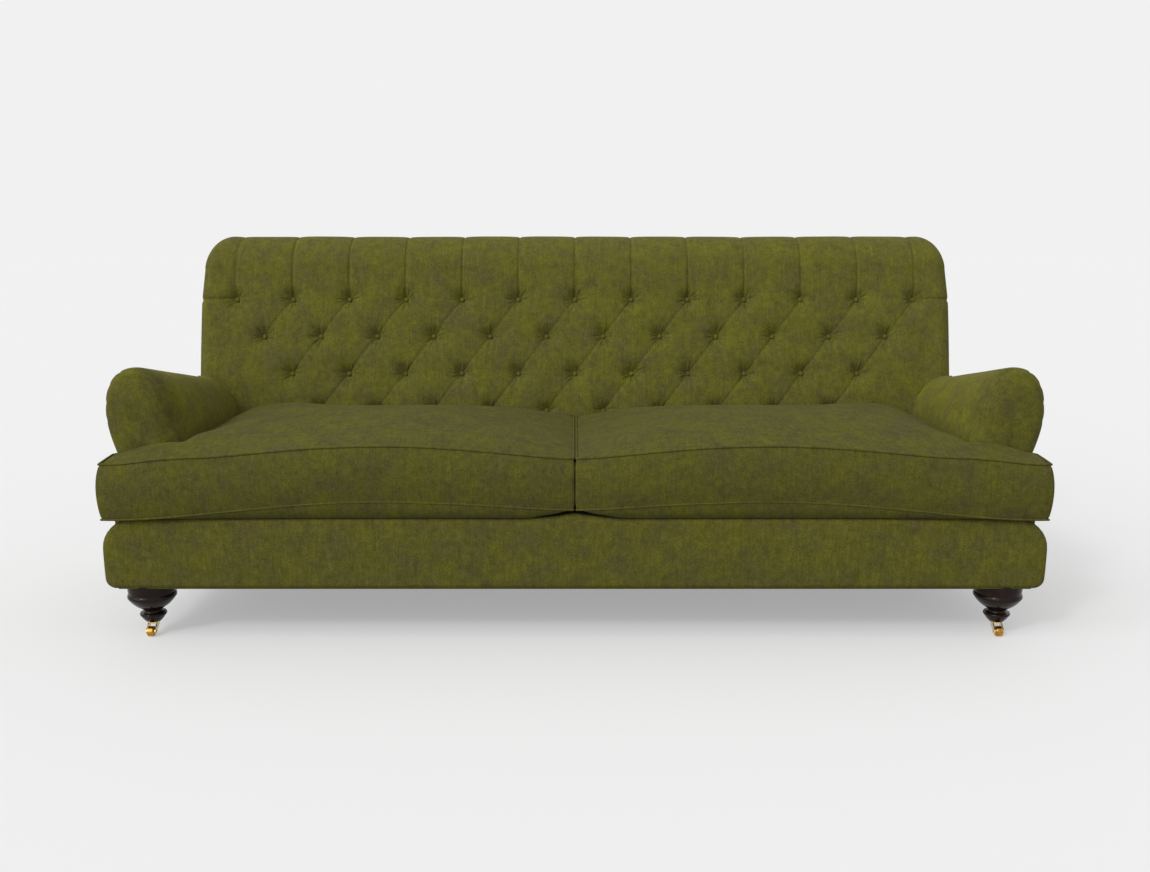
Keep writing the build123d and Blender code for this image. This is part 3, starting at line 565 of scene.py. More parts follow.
def arm_section(column, y):
    """A point (x, z) on the outline of the arm at a depth, and its angle round the outer roll."""
    share = (y - arm_front) / arm_run
    top = arm_height(y)
    outside = outer_half - arm_rear_draw * max(share, 0)
    span, _, part = find_span(arm_spans, column)
    if span == "inside":
        return seat_half + arm_lean * part, arm_foot + (top - shoulder_drop - arm_foot) * part, None
    if span == "inner_roll":
        angle = 180 - 90 * part
        turn = math.radians(angle)
        reach = arm_ridge - seat_half - arm_lean
        return arm_ridge + reach * math.cos(turn), top - shoulder_drop * (1 - math.sin(turn)), angle
    if span == "outer_roll":
        angle = 90 - 90 * part
        turn = math.radians(angle)
        reach = (outside - arm_ridge) * math.cos(turn) ** (2 / roll_power)
        return arm_ridge + reach, top - roll_drop * (1 - math.sin(turn) ** (2 / roll_power)), angle
    if span == "under_roll":
        drop = roll_drop + (neck_drop - roll_drop) * part
        return outside + (base_half - outside) * part**1.7, top - drop, -90 * part
    if span == "tuck":
        return base_half + (arm_wall_x - base_half) * part, top - neck_drop, None
    if span == "wall":
        return arm_wall_x, top - neck_drop + (arm_foot - top + neck_drop) * part, None
    return arm_wall_x + (seat_half - arm_wall_x) * part, arm_foot, None


scroll_turns = [6, 14, 24, 34, 44, 54, 63, 71, 78, 84, 90]
arm_body_rows = 34
arm_tail_rows = 8
arm_rows = len(scroll_turns) - 1 + arm_body_rows + 1 + arm_tail_rows
scroll_spine = arm_ridge - 0.006


def arm_point(column, row):
    """A point on the right arm: scroll front, body up to the inside back, and a tail beside it."""
    column = column % arm_columns
    if row < len(scroll_turns):
        turn = math.radians(scroll_turns[row])
        spread = math.sin(turn) ** (2 / scroll_power)
        y = arm_front + scroll_depth * (1 - math.cos(turn) ** (2 / scroll_power))
        x, z, angle = arm_section(column, y)
        middle = min(z, arm_height(y) - roll_drop)
        x = scroll_spine + (x - scroll_spine) * spread
        z = middle + (z - middle) * spread
        fade = spread**2
        flare = 0
    else:
        body = min((row - len(scroll_turns) + 1) / arm_body_rows, 1)
        tail = max(row - len(scroll_turns) + 1 - arm_body_rows - 1, 0) / arm_tail_rows
        start = arm_front + scroll_depth
        nominal = start + (rake_y_at(meeting_height, pad_depth) - start) * body
        x, z, angle = arm_section(column, nominal)
        meet = rake_y_at(z, pad_depth) + arm_tuck
        rear = rake_y_at(z, -cover_rear)
        y = start + (meet - start) * body + (rear - meet) * tail
        z -= arm_slope * (y - nominal) * min((z - arm_foot) / foot_fade, 1)
        if row >= len(scroll_turns) + arm_body_rows:
            x = max(x, back_half + arm_clear)
        fade = max(1 - (y - start) / pleat_reach, 0) ** 2
        flare = rear_flare * max((body - flare_start) / (1 - flare_start), 0) ** 2
    ahead = max(1 - (y - arm_front) / soft_reach, 0) ** 2
    ahead *= min(max((z - soft_height) / soft_fade, 0), 1)
    x += soft_front * ahead * max(scroll_spine - x, 0)
    if angle is not None:
        groove = sum(math.exp(-(((angle - pleat) / pleat_spread) ** 2)) for pleat in pleat_angles)
        lump = noise.noise(Vector((x * 9, y * 7, z * 9)))
        draw = pleat_depth * groove * fade - arm_lump * lump - flare
        out = Vector((x - arm_ridge, 0, z - arm_height(y) + roll_drop)).normalized()
        x -= out.x * draw
        z -= out.z * draw
    return Vector((x, y, z))


for hand, side in hands:
    bm = lattice(arm_columns, arm_rows, arm_point)
    if side < 0:
        bmesh.ops.scale(bm, vec=(-1, 1, 1), verts=bm.verts)
    bmesh.ops.remove_doubles(bm, verts=bm.verts, dist=1e-5)
    bmesh.ops.holes_fill(bm, edges=[edge for edge in bm.edges if edge.is_boundary])
    arm = make_piece(bm, f"{hand}_arm_cover", arm_velvet, "sofa", [f"{hand}_arm_pad"])


# Inside back
# Horsehair and felt under velvet, deep buttoned in four staggered rows: the cover is drawn into folds
# from button to button, and the folds above the top row run on as pleats over the rolled top.
roll_reach = 0.0862
barrel = 0.006
side_radius = 0.040
roll_end_height = 0.031
button_pitch = 0.1605
row_pitch = 0.1058
row_one_rise = roll_rise - 0.0883
button_columns = 6
button_rows = 4
roll_radius = (pad_depth - barrel + roll_reach) / 2
corner_radius = roll_radius - roll_end_height
pad_bottom = rise_at(deck_high.z + cover_gap, 0)
roll_puff = 0.003
fold_depth = 0.0037
fold_width = 0.0021
bay_depth = 0.0013
funnel_depth = 0.0170
funnel_width = 0.024
pit_depth = 0.0060
pit_width = 0.0095
pleat_fold = 0.0048
pleat_width = 0.0023
pleat_bay = 0.0026
gather_depth = 0.0036
gather_count = 3
gather_ring = 0.019
gather_width = 0.012
end_pleat = 0.0055
end_pleat_width = 0.0045
end_pleat_start = 0.03
fold_tail = 0.05  # how far the folds run on past the end buttons
roll_ease = 0.25  # share by which the pleats get shallower over the roll
edge_fold = 0.25  # share of the folds' depth that is left at the rounded sides
roll_lean = 0.007
side_bulge = 0.001
side_notch, notch_width = 0.0025, 0.006
back_lump = 0.0018
roll_lump = 0.0015
cheek_hollow = 0.004
end_button = button_columns * button_pitch
last_row_rise = row_one_rise - (button_rows - 1) * row_pitch
pleat_start = 0.35 * row_pitch  # the diamonds turn to pleats over this height past the end rows
fold_slant = math.hypot(1 / button_pitch, 0.5 / row_pitch)
half_bay = 0.5 / fold_slant


def rounding(distance, radius):
    """How far a rounded edge has drawn in at a distance from the end."""
    left = max(radius - distance, 0)
    return radius - math.sqrt(radius**2 - left**2)


def off_line(value):
    """Distance of a value from the nearest whole number."""
    return abs(value - round(value))


def fold(distance):
    """Depth of the cover beside a fold: a tight crease in a gently rounded bay."""
    crease = math.exp(-math.hypot(distance, 0.001) / fold_width)
    return fold_depth * crease + bay_depth * max(1 - distance / half_bay, 0) ** 2


def pleat(distance):
    """Depth of the cover beside a pleat of the rolled top."""
    crease = math.exp(-math.hypot(distance, 0.001) / pleat_width)
    return pleat_fold * crease + pleat_bay * max(1 - 2 * distance / button_pitch, 0) ** 4


def pit(x, rise):
    """Depth of the dent and its gathers round the nearest button."""
    row = min(max(round((row_one_rise - rise) / row_pitch), 0), button_rows - 1)
    shift = row % 2 / 2
    column = round(x / button_pitch - shift) + shift
    column = max(min(column, button_columns - row / 2), row / 2 - button_columns)
    dx = x - column * button_pitch
    dy = rise - (row_one_rise - row * row_pitch)
    away = math.hypot(dx, dy)
    dent = pit_depth * math.exp(-((math.hypot(away, 0.004) / pit_width) ** 1.2))
    dent += funnel_depth * math.exp(-((away / funnel_width) ** 1.6))
    ring = math.exp(-(((away - gather_ring) / gather_width) ** 2))
    if away < 1e-6:
        return dent
    spoke = Vector((dx, dy, 0)) * (gather_count / away)
    gather = max(1 - abs(noise.noise(spoke + Vector((3.7 * column, 5.3 * row, 0.5)))) / 0.25, 0)
    return dent + gather_depth * gather * ring


def diamond_depth(x, rise):
    """Depth of the diamonds between the rows of buttons, dying away past the last button of each row."""
    column = abs(x) / button_pitch
    row = (row_one_rise - rise) / row_pitch
    outward, inward = column + row / 2, column - row / 2
    past = max(outward - button_columns, 0)
    across = fold(off_line(inward) / fold_slant)
    if past:
        return fold(past / fold_slant) + math.exp(-past * button_pitch / fold_tail) * across
    return fold(off_line(outward) / fold_slant) + across


def back_depth(x, rise, over=0.0):
    """Depth of the cover below its crest on the front, or on the roll by how far it has gone over."""
    column = abs(x) / button_pitch
    past = max(column - button_columns, 0)
    above = min(max((rise - row_one_rise) / pleat_start, 0), 1)
    below = min(max((last_row_rise - rise) / pleat_start, 0), 1)
    depth = diamond_depth(x, min(max(rise, last_row_rise), row_one_rise)) * (1 - max(above, below))
    if above:
        line = past * button_pitch if past else off_line(column) * button_pitch
        depth += pleat(line) * above * (1 - roll_ease * over)
    if below:
        depth += pleat(off_line(column + 0.5) * button_pitch) * below
    if past:
        side = min(past * button_pitch / end_pleat_start, 1)
        depth += side * end_pleat * math.exp(-math.hypot(rise - row_one_rise, 0.001) / end_pleat_width)
    return depth + pit(x, rise)


bay_steps = 38
end_steps = 14
edge_steps = 12
cheek_steps = 8
bay_columns = 2 * button_columns * bay_steps
half_columns = bay_columns + end_steps + edge_steps + cheek_steps
row_steps = (
    ("skirt", 12), ("rows", (button_rows - 1) * bay_steps), ("chest", 26),
    ("roll", 60), ("lip", 6), ("tuck", 2),
)
back_rows = sum(count for _, count in row_steps)
front_spans = {
    "skirt": (pad_bottom, last_row_rise),
    "rows": (last_row_rise, row_one_rise),
    "chest": (row_one_rise, roll_rise),
}


def hollow(rise):
    """How far the pad falls back above and below its fullest height."""
    return barrel * ((2 * rise - pad_bottom - roll_rise) / (roll_rise - pad_bottom)) ** 2


def spaced(step):
    """How many bays a step has gone along, with the steps closer together near the buttons."""
    bays, part = divmod(step / bay_steps, 1)
    return bays + part - 0.4 * math.sin(math.tau * part) / math.tau


def back_station(column):
    """Distance along the sofa, and how far round the cheek, for a column of the inside back."""
    column = abs(column)
    if column <= bay_columns:
        return spaced(column) * button_pitch / 2, 0
    column -= bay_columns
    if column <= end_steps:
        return end_button + (back_half - side_radius - end_button) * column / end_steps, 0
    column -= end_steps
    if column <= edge_steps:
        turn = math.radians(90 * column / edge_steps)
        return back_half - side_radius * (1 - math.sin(turn)), 0
    return back_half, (column - edge_steps) / cheek_steps


def back_point(column, row):
    """A point of the inside back."""
    column -= half_columns
    side = math.copysign(1, column)
    x, cheek = back_station(column)
    distance = back_half - x
    crest = pad_depth - rounding(distance, side_radius)
    radius = (crest - barrel + roll_reach) / 2
    centre = radius - roll_reach
    upright = (roll_radius - rounding(distance, corner_radius)) / radius
    soft = 1 - rounding(distance, side_radius) / side_radius
    drawn = edge_fold + (1 - edge_fold) * soft
    span, row, part = find_span(row_steps, row)
    if span == "rows":
        part = spaced(row) / (button_rows - 1)
    if span == "chest":
        part = part**1.5
    lean, notch = roll_lean, 0
    if span in front_spans:
        low, high = front_spans[span]
        rise = low + (high - low) * part
        lump = back_lump * noise.noise(Vector((side * x * 7, rise * 7, 0.3)))
        depth = back_depth(side * x, rise) * drawn - lump
        proud = crest - hollow(rise) - depth
        bulge = side_bulge * math.sin(math.pi * min(max(rise / row_one_rise, 0), 1))
        lean = roll_lean * max((rise - row_one_rise) / (roll_rise - row_one_rise), 0) - bulge
        notch = side_notch * math.exp(-((rise - row_one_rise) / notch_width) ** 2)
    elif span == "roll":
        turn = math.pi * part
        lump = roll_lump * noise.noise(Vector((side * x * 7, part * 3, 5.1)))
        depth = back_depth(side * x, roll_rise, min(part * 2, 1)) * drawn - lump
        reach = radius + roll_puff * math.sin(turn) - depth * min(2.2 - 2 * part, 1)
        rise = roll_rise + upright * reach * math.sin(turn)
        proud = centre + reach * math.cos(turn)
    else:
        rise = roll_rise - lip_drop * (part if span == "lip" else 1)
        proud = -roll_reach + (0 if span == "lip" else (roll_reach - cover_rear) * part)
    x -= (lean + notch) * max((x - end_button) / (back_half - end_button), 0)
    if cheek:
        x += cheek_hollow * math.sin(math.pi * cheek)
        rise += (min(rise, roll_rise) - rise) * cheek
        proud += (-cover_rear - proud) * cheek
    return raked(side * x, rise, proud)


bm = lattice(2 * half_columns, back_rows, back_point)
bmesh.ops.remove_doubles(bm, verts=bm.verts, dist=1e-6)
inside_back = make_piece(bm, "inside_back_cover", back_velvet, "sofa", ["inside_back"])


# Buttons
# Metal buttons covered in the same velvet, 15 mm across, each pulled into its pit by twine.
# The cloth is gathered under the rim, so the edge is rolled.
button_radius = 0.0075
button_dome = 0.0048
button_seat = 0.0075
button_profile = [(0, 1), (0.35, 0.94), (0.66, 0.74), (0.9, 0.36), (1, 0), (0.94, -0.4), (0.7, -0.7)]
bm = bmesh.new()
for row in range(button_rows):
    across = 2 * button_columns + 1 - row
    for place in range(across):
        x = (place - (across - 1) / 2) * button_pitch
        rise = row_one_rise - row * row_pitch
        seat = pad_depth - hollow(rise) - back_depth(x, rise) + button_seat
        before = set(bm.verts)
        line = []
        for reach, height in button_profile:
            line.append(bm.verts.new((reach * button_radius, 0, height * button_dome)))
        edges = [bm.edges.new(pair) for pair in zip(line, line[1:])]
        bmesh.ops.spin(
            bm, geom=line + edges, cent=(0, 0, 0), axis=(0, 0, 1), angle=math.tau, steps=18, use_merge=True
        )
        own = [vert for vert in bm.verts if vert not in before]
        tilt = Matrix.Rotation(math.pi / 2 - rake, 4, "X")
        bmesh.ops.transform(bm, matrix=Matrix.Translation(raked(x, rise, seat)) @ tilt, verts=own)
bmesh.ops.remove_doubles(bm, verts=bm.verts, dist=1e-6)
make_piece(bm, "covered_buttons", back_velvet, "sofa", ["back_buttons"])


# Seat cushions
# Two loose feather-wrapped cushions in velvet cases: a crowned top, a boxing strip and a base, piped at
# both seams, each with a wing in front of its arm. The filling is blown up against the sewn seams.
# painted shade: the cushion velvet is painted 0.94 as bright, darkening tops that the lamps light strongly
cushion_velvet = velvet("velvet_cushion", (260, 20, 20), 0.94)
pipe_radius = 0.0031
lower_pipe_radius = 0.0025
cushion_bottom = deck_high.z + cover_gap
cushion_gap = 0.0004
side_gap = 0.001
seam_inset = 0.0042
boxing_swell = 0.011
corner_turn = 0.003
wing_flare = 0.004
wing_lift = 0.004
crown = 0.026
edge_round = 0.016
edge_drop = 0.012
base_turn = 0.018
seam_peak = 0.43  # share of the length at which the seam is highest
seam_lift = 0.037
seam_rise = 0.132
seam_fall = 0.014
boxing_depth = 0.122
boxing_gain = 0.010  # by how much the boxing is deeper away from the middle
front_turn, front_turn_reach = 0.010, 0.14
front_reach, middle_reach, end_reach = 0.16, 0.22, 0.11  # how far in from each seam the top is full
arm_roll, arm_roll_place = 0.020, 0.13  # the top stands up a little beside the arm
level_share, level_bow, level_run = 0.6, 0.018, 0.5  # how far the top levels out behind the bowed seam
arm_press, arm_press_run, arm_reach = 0.15, 0.22, 0.07  # the arm keeps the top down behind the wing
back_press, back_reach = 0.25, 0.12
corner_lift, corner_place, corner_width = 0.4, 0.015, 0.09  # the top is fullest where the wing begins
crown_lump = 0.05
end_fade = 0.12
swell_cap = 0.022
swell_frames = 20
wing_reach = outer_half - 0.024
end_limit, front_limit = wing_reach + 0.0125, sofa_front - 0.006  # as far as a cushion may swell
back_clear = 0.0005
main_columns, wing_columns = 88, 14
wing_rows, main_rows = 10, 46
boxing_rows = 9
cushion_inner = 0.0036
cushion_arm = seat_half - 0.002 - seam_inset
cushion_end = wing_reach - 0.002
cushion_front = sofa_front + 0.009
wing_rear = arm_front - side_gap - seam_inset
all_columns, all_rows = main_columns + wing_columns, wing_rows + main_rows


def cushion_share(x):
    """How far along its cushion a point lies, from the middle of the sofa to the wing's end."""
    return min(max((x - cushion_inner) / (cushion_end - cushion_inner), 0), 1)


def seam_bow(x):
    """How far the filling lifts the top seam, nought at both ends of a cushion."""
    share = cushion_share(x)
    if share < seam_peak:
        return seam_lift * math.sin(math.pi / 2 * share / seam_peak) ** 1.15
    return seam_lift * math.sin(math.pi / 2 * (1 - share) / (1 - seam_peak)) ** 1.8


def seam_height(x):
    """Height of the top seam, which bows up over the filling and falls towards the wing."""
    return cushion_bottom + seam_rise + seam_fall * (1 - cushion_share(x)) + seam_bow(x)


def lower_seam_height(x):
    """Height of the lower seam, which lifts off the deck where the two cushions meet."""
    return seam_height(x) - boxing_depth - boxing_gain * min(cushion_share(x) / 0.3, 1)


def plan_point(column, row):
    """Where a crossing of the case lies seen from above."""
    if column == 1:
        x = cushion_inner + corner_turn
    elif column <= main_columns:
        x = cushion_inner + (cushion_arm - cushion_inner) * column / main_columns
    else:
        x = cushion_arm + (cushion_end - cushion_arm) * (column - main_columns) / wing_columns
    end = min(x - cushion_inner, cushion_end - x)
    face = cushion_front + front_turn * max(1 - end / front_turn_reach, 0) ** 2
    if row == 1:
        y = face + corner_turn
    elif row <= wing_rows:
        y = face + (wing_rear - face) * row / wing_rows
    else:
        rear = rake_y_at(seam_height(x), pad_depth) - side_gap - seam_inset
        y = wing_rear + (rear - wing_rear) * (row - wing_rows) / main_rows
    return x, y


def edge_distances(column, row):
    """How far a crossing lies from the front, the middle of the sofa, the end, the arm and the back."""
    x, y = plan_point(column, row)
    rear = plan_point(min(column, main_columns), all_rows)[1]
    front_line = plan_point(column, 0)[1]
    arm = math.hypot(max(cushion_arm - x, 0), max(wing_rear - y, 0))
    return y - front_line, x - cushion_inner, cushion_end - x, arm, max(rear - y, 0)


def swelling(distance, reach):
    """Rise of the filling from a seam, nought on it and one from its reach on."""
    return 1 - (1 - min(distance / reach, 1)) ** 2


rim = [(column, 0) for column in range(all_columns)]
rim += [(all_columns, row) for row in range(wing_rows)]
rim += [(column, wing_rows) for column in range(all_columns, main_columns, -1)]
rim += [(main_columns, row) for row in range(wing_rows, all_rows)]
rim += [(column, all_rows) for column in range(main_columns, 0, -1)]
rim += [(0, row) for row in range(all_rows, 0, -1)]


def case_panel(bm, place):
    """The T-shaped top or base of the case, with each crossing put where place(column, row) says."""
    made = bmesh.ops.create_grid(bm, x_segments=all_columns, y_segments=all_rows, size=1)["verts"]
    crossings = {}
    for vert in made:
        crossings[round((vert.co.x + 1) / 2 * all_columns), round((vert.co.y + 1) / 2 * all_rows)] = vert
    spare = [vert for (column, row), vert in crossings.items() if column > main_columns and row > wing_rows]
    bmesh.ops.delete(bm, geom=spare, context="VERTS")
    crossings = {key: vert for key, vert in crossings.items() if vert.is_valid}
    for (column, row), vert in crossings.items():
        vert.co = place(column, row)
    return crossings


def case_top(column, row, seed):
    """A crossing of the crowned top, rounded down to its seam beside the arm and the back."""
    x, y = plan_point(column, row)
    front, middle, end, arm, rear = edge_distances(column, row)
    full = swelling(front, front_reach) * swelling(middle, middle_reach) * swelling(end, end_reach)
    pressed = 1 - arm_press * swelling(max(y - wing_rear, 0), arm_press_run)
    full *= pressed + (1 - pressed) * swelling(arm, arm_reach)
    full *= 1 - back_press + back_press * swelling(rear, back_reach)
    lump = crown_lump * noise.noise(Vector((x * 6, y * 6, seed)))
    off_corner = (x - cushion_arm - corner_place) ** 2 + 0.5 * (y - wing_rear) ** 2
    corner = corner_lift * math.exp(-off_corner / corner_width**2)
    turned = edge_drop * (1 - swelling(min(arm, rear), edge_round)) * swelling(min(end, middle), end_fade)
    beside_arm = math.exp(-(((arm - arm_roll_place) / arm_roll_place) ** 2))
    levelled = level_share * (level_bow - seam_bow(x)) + arm_roll * beside_arm
    wing = min(max(column - main_columns, 0) / 4, 1) * min(front / 0.09, 1)
    height = seam_height(x) + levelled * min(front / level_run, 1) + wing_lift * wing
    return x, y, height + crown * (full * (1 + lump) + corner * swelling(end, end_reach)) - turned


def case_base(column, row):
    """A crossing of the base, turned up to the lower seam at its edge."""
    x, y = plan_point(column, row)
    front, middle, end, arm, rear = edge_distances(column, row)
    turned = rounding(min(front, end, arm, rear), base_turn) / base_turn
    lift = max(turned, max(1 - middle / end_fade, 0) ** 1.6)
    wing = max(column - main_columns, 0) / wing_columns
    return x + wing_flare * wing, y, cushion_bottom + (lower_seam_height(x) - cushion_bottom) * lift


def lower_ring(bm, ring, places):
    """Extrudes a closed ring of the boxing and puts the new one in its places."""
    edges = [bm.edges.get((ring[index - 1], ring[index])) for index in range(len(ring))]
    made = bmesh.ops.extrude_edge_only(bm, edges=edges)["geom"]
    made = {item for item in made if isinstance(item, bmesh.types.BMVert)}
    fresh = []
    for vert, place in zip(ring, places):
        twin = next(edge.other_vert(vert) for edge in vert.link_edges if edge.other_vert(vert) in made)
        twin.co = place
        fresh.append(twin)
    return fresh


def boxing_place(column, row, level, seam):
    """A point of the boxing, so far down from the top seam, standing out in front, at the wing and between
    the cushions."""
    bulge = math.sin(math.pi * level**0.85) ** 0.8
    wing = max(column - main_columns, 0) / wing_columns
    x, y = seam.x + wing_flare * wing * level, seam.y
    if row == 0:
        y -= boxing_swell * bulge
    if column == all_columns:
        x += 0.8 * boxing_swell * bulge
    if column == main_columns and row > wing_rows:
        x += seam_inset * bulge
    if column > main_columns and row == wing_rows:
        y += seam_inset * bulge
    if column == 0:
        x -= (cushion_inner - cushion_gap) * min(2.5 * bulge, 1)
    return x, y, seam.z + (lower_seam_height(seam.x) - seam.z) * level


def inflate(piece, pinned, cap):
    """Blows the case up against its sewn seams, with no point moving further than the cap."""
    start = [vert.co.copy() for vert in piece.data.vertices]
    group = piece.vertex_groups.new(name="seams")
    group.add(pinned, 1.0, "REPLACE")
    cloth = piece.modifiers.new("filling", "CLOTH")
    settings = cloth.settings
    settings.quality = 4
    settings.use_pressure = True
    settings.uniform_pressure_force = 4
    settings.effector_weights.gravity = 0
    settings.vertex_group_mass = "seams"
    settings.tension_stiffness = 25
    settings.compression_stiffness = 25
    settings.bending_stiffness = 2
    cloth.point_cache.frame_end = swell_frames
    for step in range(swell_frames):
        bpy.context.scene.frame_set(step + 1)
    swollen = piece.evaluated_get(bpy.context.evaluated_depsgraph_get()).to_mesh()
    moved = [vert.co.copy() for vert in swollen.vertices]
    piece.modifiers.remove(cloth)
    piece.vertex_groups.remove(group)
    for vert, before, after in zip(piece.data.vertices, start, moved):
        shift = after - before
        vert.co = before + shift * min(cap / max(shift.length, 1e-9), 1)
    bpy.context.scene.frame_set(1)


def hold_in(piece, side):
    """Keeps a swollen cushion off its neighbours, the arm, the back and the deck."""
    for vert in piece.data.vertices:
        x, y, z = side * vert.co.x, vert.co.y, vert.co.z
        x = max(x, cushion_gap)
        if y > wing_rear + seam_inset:
            x = min(x, seat_half - side_gap)
        if x > seat_half - side_gap:
            y = min(y, arm_front - arm_clear)
        x = min(x, end_limit)
        y = max(min(y, rake_y_at(z, pad_depth) - back_clear), front_limit)
        vert.co = (side * x, y, max(z, cushion_bottom))


for hand, side in hands:
    bm = bmesh.new()
    top = case_panel(bm, lambda column, row: case_top(column, row, side))
    ring = [top[key] for key in rim]
    upper_seam = [vert.co.copy() for vert in ring]
    for level in range(1, boxing_rows + 1):
        places = [boxing_place(*key, level / boxing_rows, seam) for key, seam in zip(rim, upper_seam)]
        ring = lower_ring(bm, ring, places)
    lower_seam = [vert.co.copy() for vert in ring]
    case_panel(bm, case_base)
    bmesh.ops.remove_doubles(bm, verts=bm.verts, dist=1e-5)
    bmesh.ops.scale(bm, vec=(side, 1, 1), verts=bm.verts)
    body = f"{hand}_cushion"
    solids = [f"{hand}_seat_cushion", f"{hand}_cushion_core"]
    cushion = make_piece(bm, f"{body}_cover", cushion_velvet, body, solids)
    sewn = {(round(place.x, 4), round(place.y, 4)): place.z for place in upper_seam}
    pinned = []
    for vert in cushion.data.vertices:
        x, y, z = side * vert.co.x, vert.co.y, vert.co.z
        if z < lower_seam_height(x) + 1e-4 or abs(z - sewn.get((round(x, 4), round(y, 4)), 0)) < 1e-4:
            pinned.append(vert.index)
    inflate(cushion, pinned, swell_cap)
    hold_in(cushion, side)
    smooth = cushion.modifiers.new("smooth", "SUBSURF")
    smooth.levels = smooth.render_levels = 1
    seams = (("upper", upper_seam, pipe_radius), ("lower", lower_seam, lower_pipe_radius))
    for level, line, radius in seams:
        path = [Vector((side * place.x, place.y, place.z)) for place in line]
        make_piece(welt(path, radius, True), f"{body}_{level}_piping", cushion_velvet, body)


# Legs
# Turned front legs and square swept rear legs in dark stained hardwood, polished to a gloss.
# Hanger bolts hold them to the rails, and nylon glides are nailed under the rear ones.
def between(tree, pattern, low, high):
    """A pattern's values, nought to one, spread between two numbers."""
    return node(tree, "MapRange", {"Value": pattern, "To Min": low, "To Max": high}).outputs["Result"]


def dark_gloss():
    """Near-black brown stain under a clear polish, with the grain just showing."""
    material, tree, shader = start_finish("dark_polished_wood", Specular_IOR_Level=0.15)
    grain = cloud(tree, (90, 90, 14), 6, 0.65)
    fine = cloud(tree, (400, 400, 60), 3, 0.6)
    colour = ramp(tree, grain, (0.3, shade(20, 12, 9)), (0.7, shade(40, 26, 19)))
    pores = ramp(tree, fine, (0.3, (0.7, 0.7, 0.7, 1)), (0.6, (1, 1, 1, 1)))
    colour = multiplied(tree, 0.6, colour, pores)
    wire(tree, shader, Base_Color=colour, Roughness=between(tree, grain, 0.1, 0.18))
    wire(tree, shader, Normal=relief(tree, fine, 0.06, 0.0004))
    return material


def cloudy_metal(name, clouds, detail, dull, bright, rough):
    """Bare metal with so many clouds to a metre; dull and bright are each a place in them and a colour."""
    material, tree, shader = start_finish(name, Metallic=1.0)
    pattern = cloud(tree, (clouds, clouds, clouds), detail)
    colour = ramp(tree, pattern, *((place, shade(*tone)) for place, tone in (dull, bright)))
    wire(tree, shader, Base_Color=colour, Roughness=between(tree, pattern, *rough))
    return material


dress([f"{end}_{hand}_leg" for end in ("front", "rear") for hand, _ in hands], dark_gloss())
zinc_dull, zinc_bright = (0.3, (150, 150, 148)), (0.7, (186, 186, 184))
dress(["leg_bolts"], cloudy_metal("plated_steel", 160, 4, zinc_dull, zinc_bright, rough=(0.3, 0.48)))
black_nylon = clouded(
    "black_nylon", stretch=(800, 800, 800), detail=(2, 0.5), bump=(0.2, 0.0003),
    dark=(24, 24, 24), light=(38, 38, 38), Roughness=0.55,
)
dress(["rear_glides"], black_nylon)


# Castors
# Cast brass: a flanged socket driven up into the leg, a fork that turns in it, an axle and a solid wheel.
# The castings are polished and a little tarnished in patches.
brasses = (
    ("pale_brass", (244, 226, 172), ("socket", "fork")),
    ("deep_brass", (190, 142, 66), ("axle", "wheel")),
)
for name, bright, parts in brasses:
    worn = [0.84 * part for part in bright]
    brass = cloudy_metal(name, 120, 5, (0.32, worn), (0.6, bright), rough=(0.3, 0.14))
    dress([f"{hand}_castor_{part}" for hand, _ in hands for part in parts], brass)


# Studio
# A pale floor that runs out to the horizon, an even sky, broad window light from the upper left and a
# small lamp above it that gives the shadows an edge. The camera stands at the photograph's viewpoint.
def seen_directly(tree):
    """One for what the camera sees, straight or mirrored, and nought for the light that things get."""
    path = node(tree, "LightPath")
    links = {0: path.outputs["Is Camera Ray"], 1: path.outputs["Is Glossy Ray"]}
    either = node(tree, "Math", links, operation="MAXIMUM").outputs[0]
    links = {0: either, 1: path.outputs["Is Transmission Ray"]}
    return node(tree, "Math", links, operation="MAXIMUM").outputs[0]


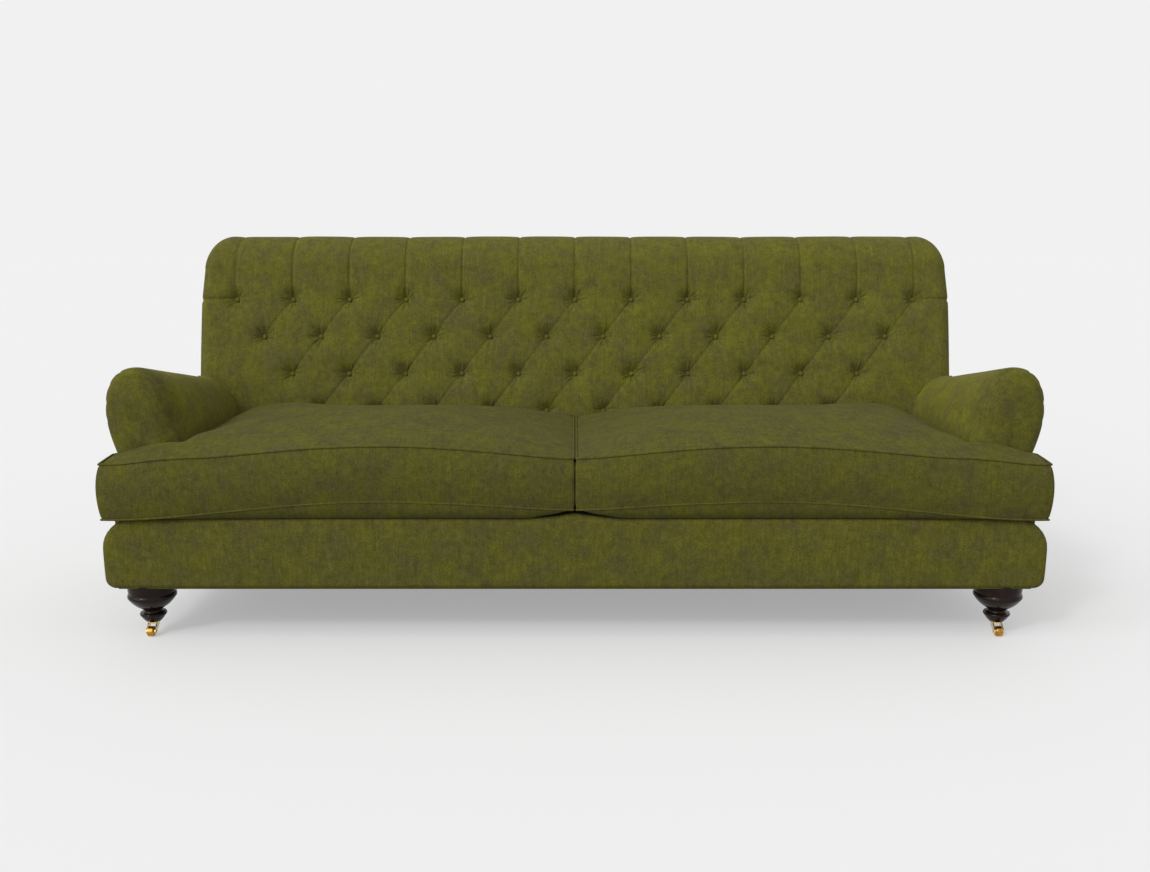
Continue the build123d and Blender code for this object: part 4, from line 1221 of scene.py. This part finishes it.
backdrop = (0.88, 0.88, 0.88, 1)
floor_paint = (0.847, 0.847, 0.847, 1)
floor_bounce = (0.3, 0.3, 0.3, 1)  # what the floor throws back at the sofa
floor_glow = 0.38
sky_strength = 0.7
bm = bmesh.new()
bmesh.ops.create_circle(bm, cap_ends=True, radius=60, segments=96)
mesh = bpy.data.meshes.new("floor")
bm.to_mesh(mesh)
bm.free()
floor = put("floor", mesh)
matt = {"Base_Color": floor_paint, "Roughness": 1.0, "Specular_IOR_Level": 0.0}
floor_finish, tree, shader = start_finish("pale_floor", **matt)
glow = node(tree, "Emission", {"Color": backdrop, "Strength": 1.0})
lifted = node(tree, "MixShader", {0: floor_glow, 1: shader.outputs[0], 2: glow.outputs[0]})
dull = node(tree, "BsdfDiffuse", {"Color": floor_bounce})
both = node(tree, "MixShader", {0: seen_directly(tree), 1: dull.outputs[0], 2: lifted.outputs[0]})
tree.links.new(both.outputs[0], tree.nodes["Material Output"].inputs["Surface"])
mesh.materials.append(floor_finish)
floor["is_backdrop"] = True

world = bpy.data.worlds.new("studio")
bpy.context.scene.world = world
world.use_nodes = True
tree = world.node_tree
light = tree.nodes["Background"]
light.inputs["Color"].default_value = (1, 1, 1, 1)
light.inputs["Strength"].default_value = sky_strength
seen = node(tree, "Background", {"Color": backdrop, "Strength": 1.0})
sky = node(tree, "MixShader", {0: seen_directly(tree), 1: light.outputs[0], 2: seen.outputs[0]})
tree.links.new(sky.outputs[0], tree.nodes["World Output"].inputs["Surface"])

window_way, lamp_way = Vector((0.64, 0.62, -0.45)), Vector((0.50, 0.62, -0.60))
for name, energy, softness, way in (("window", 1.5, 66, window_way), ("lamp", 0.65, 10, lamp_way)):
    lamp = bpy.data.lights.new(name, "SUN")
    lamp.energy = energy
    lamp.angle = math.radians(softness)
    put(name, lamp).rotation_euler = way.to_track_quat("-Z", "Y").to_euler()

camera = bpy.data.cameras.new("camera")
camera.lens = 35.0
camera.sensor_width = 36.0
camera.sensor_fit = "HORIZONTAL"
stand = put("camera", camera)
stand.location = (0, sofa_front - 2.521, 0.9483)
stand.rotation_euler = (math.radians(80), 0, 0)
bpy.context.scene.camera = stand
bpy.context.scene.view_settings.view_transform = "Standard"

low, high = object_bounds()
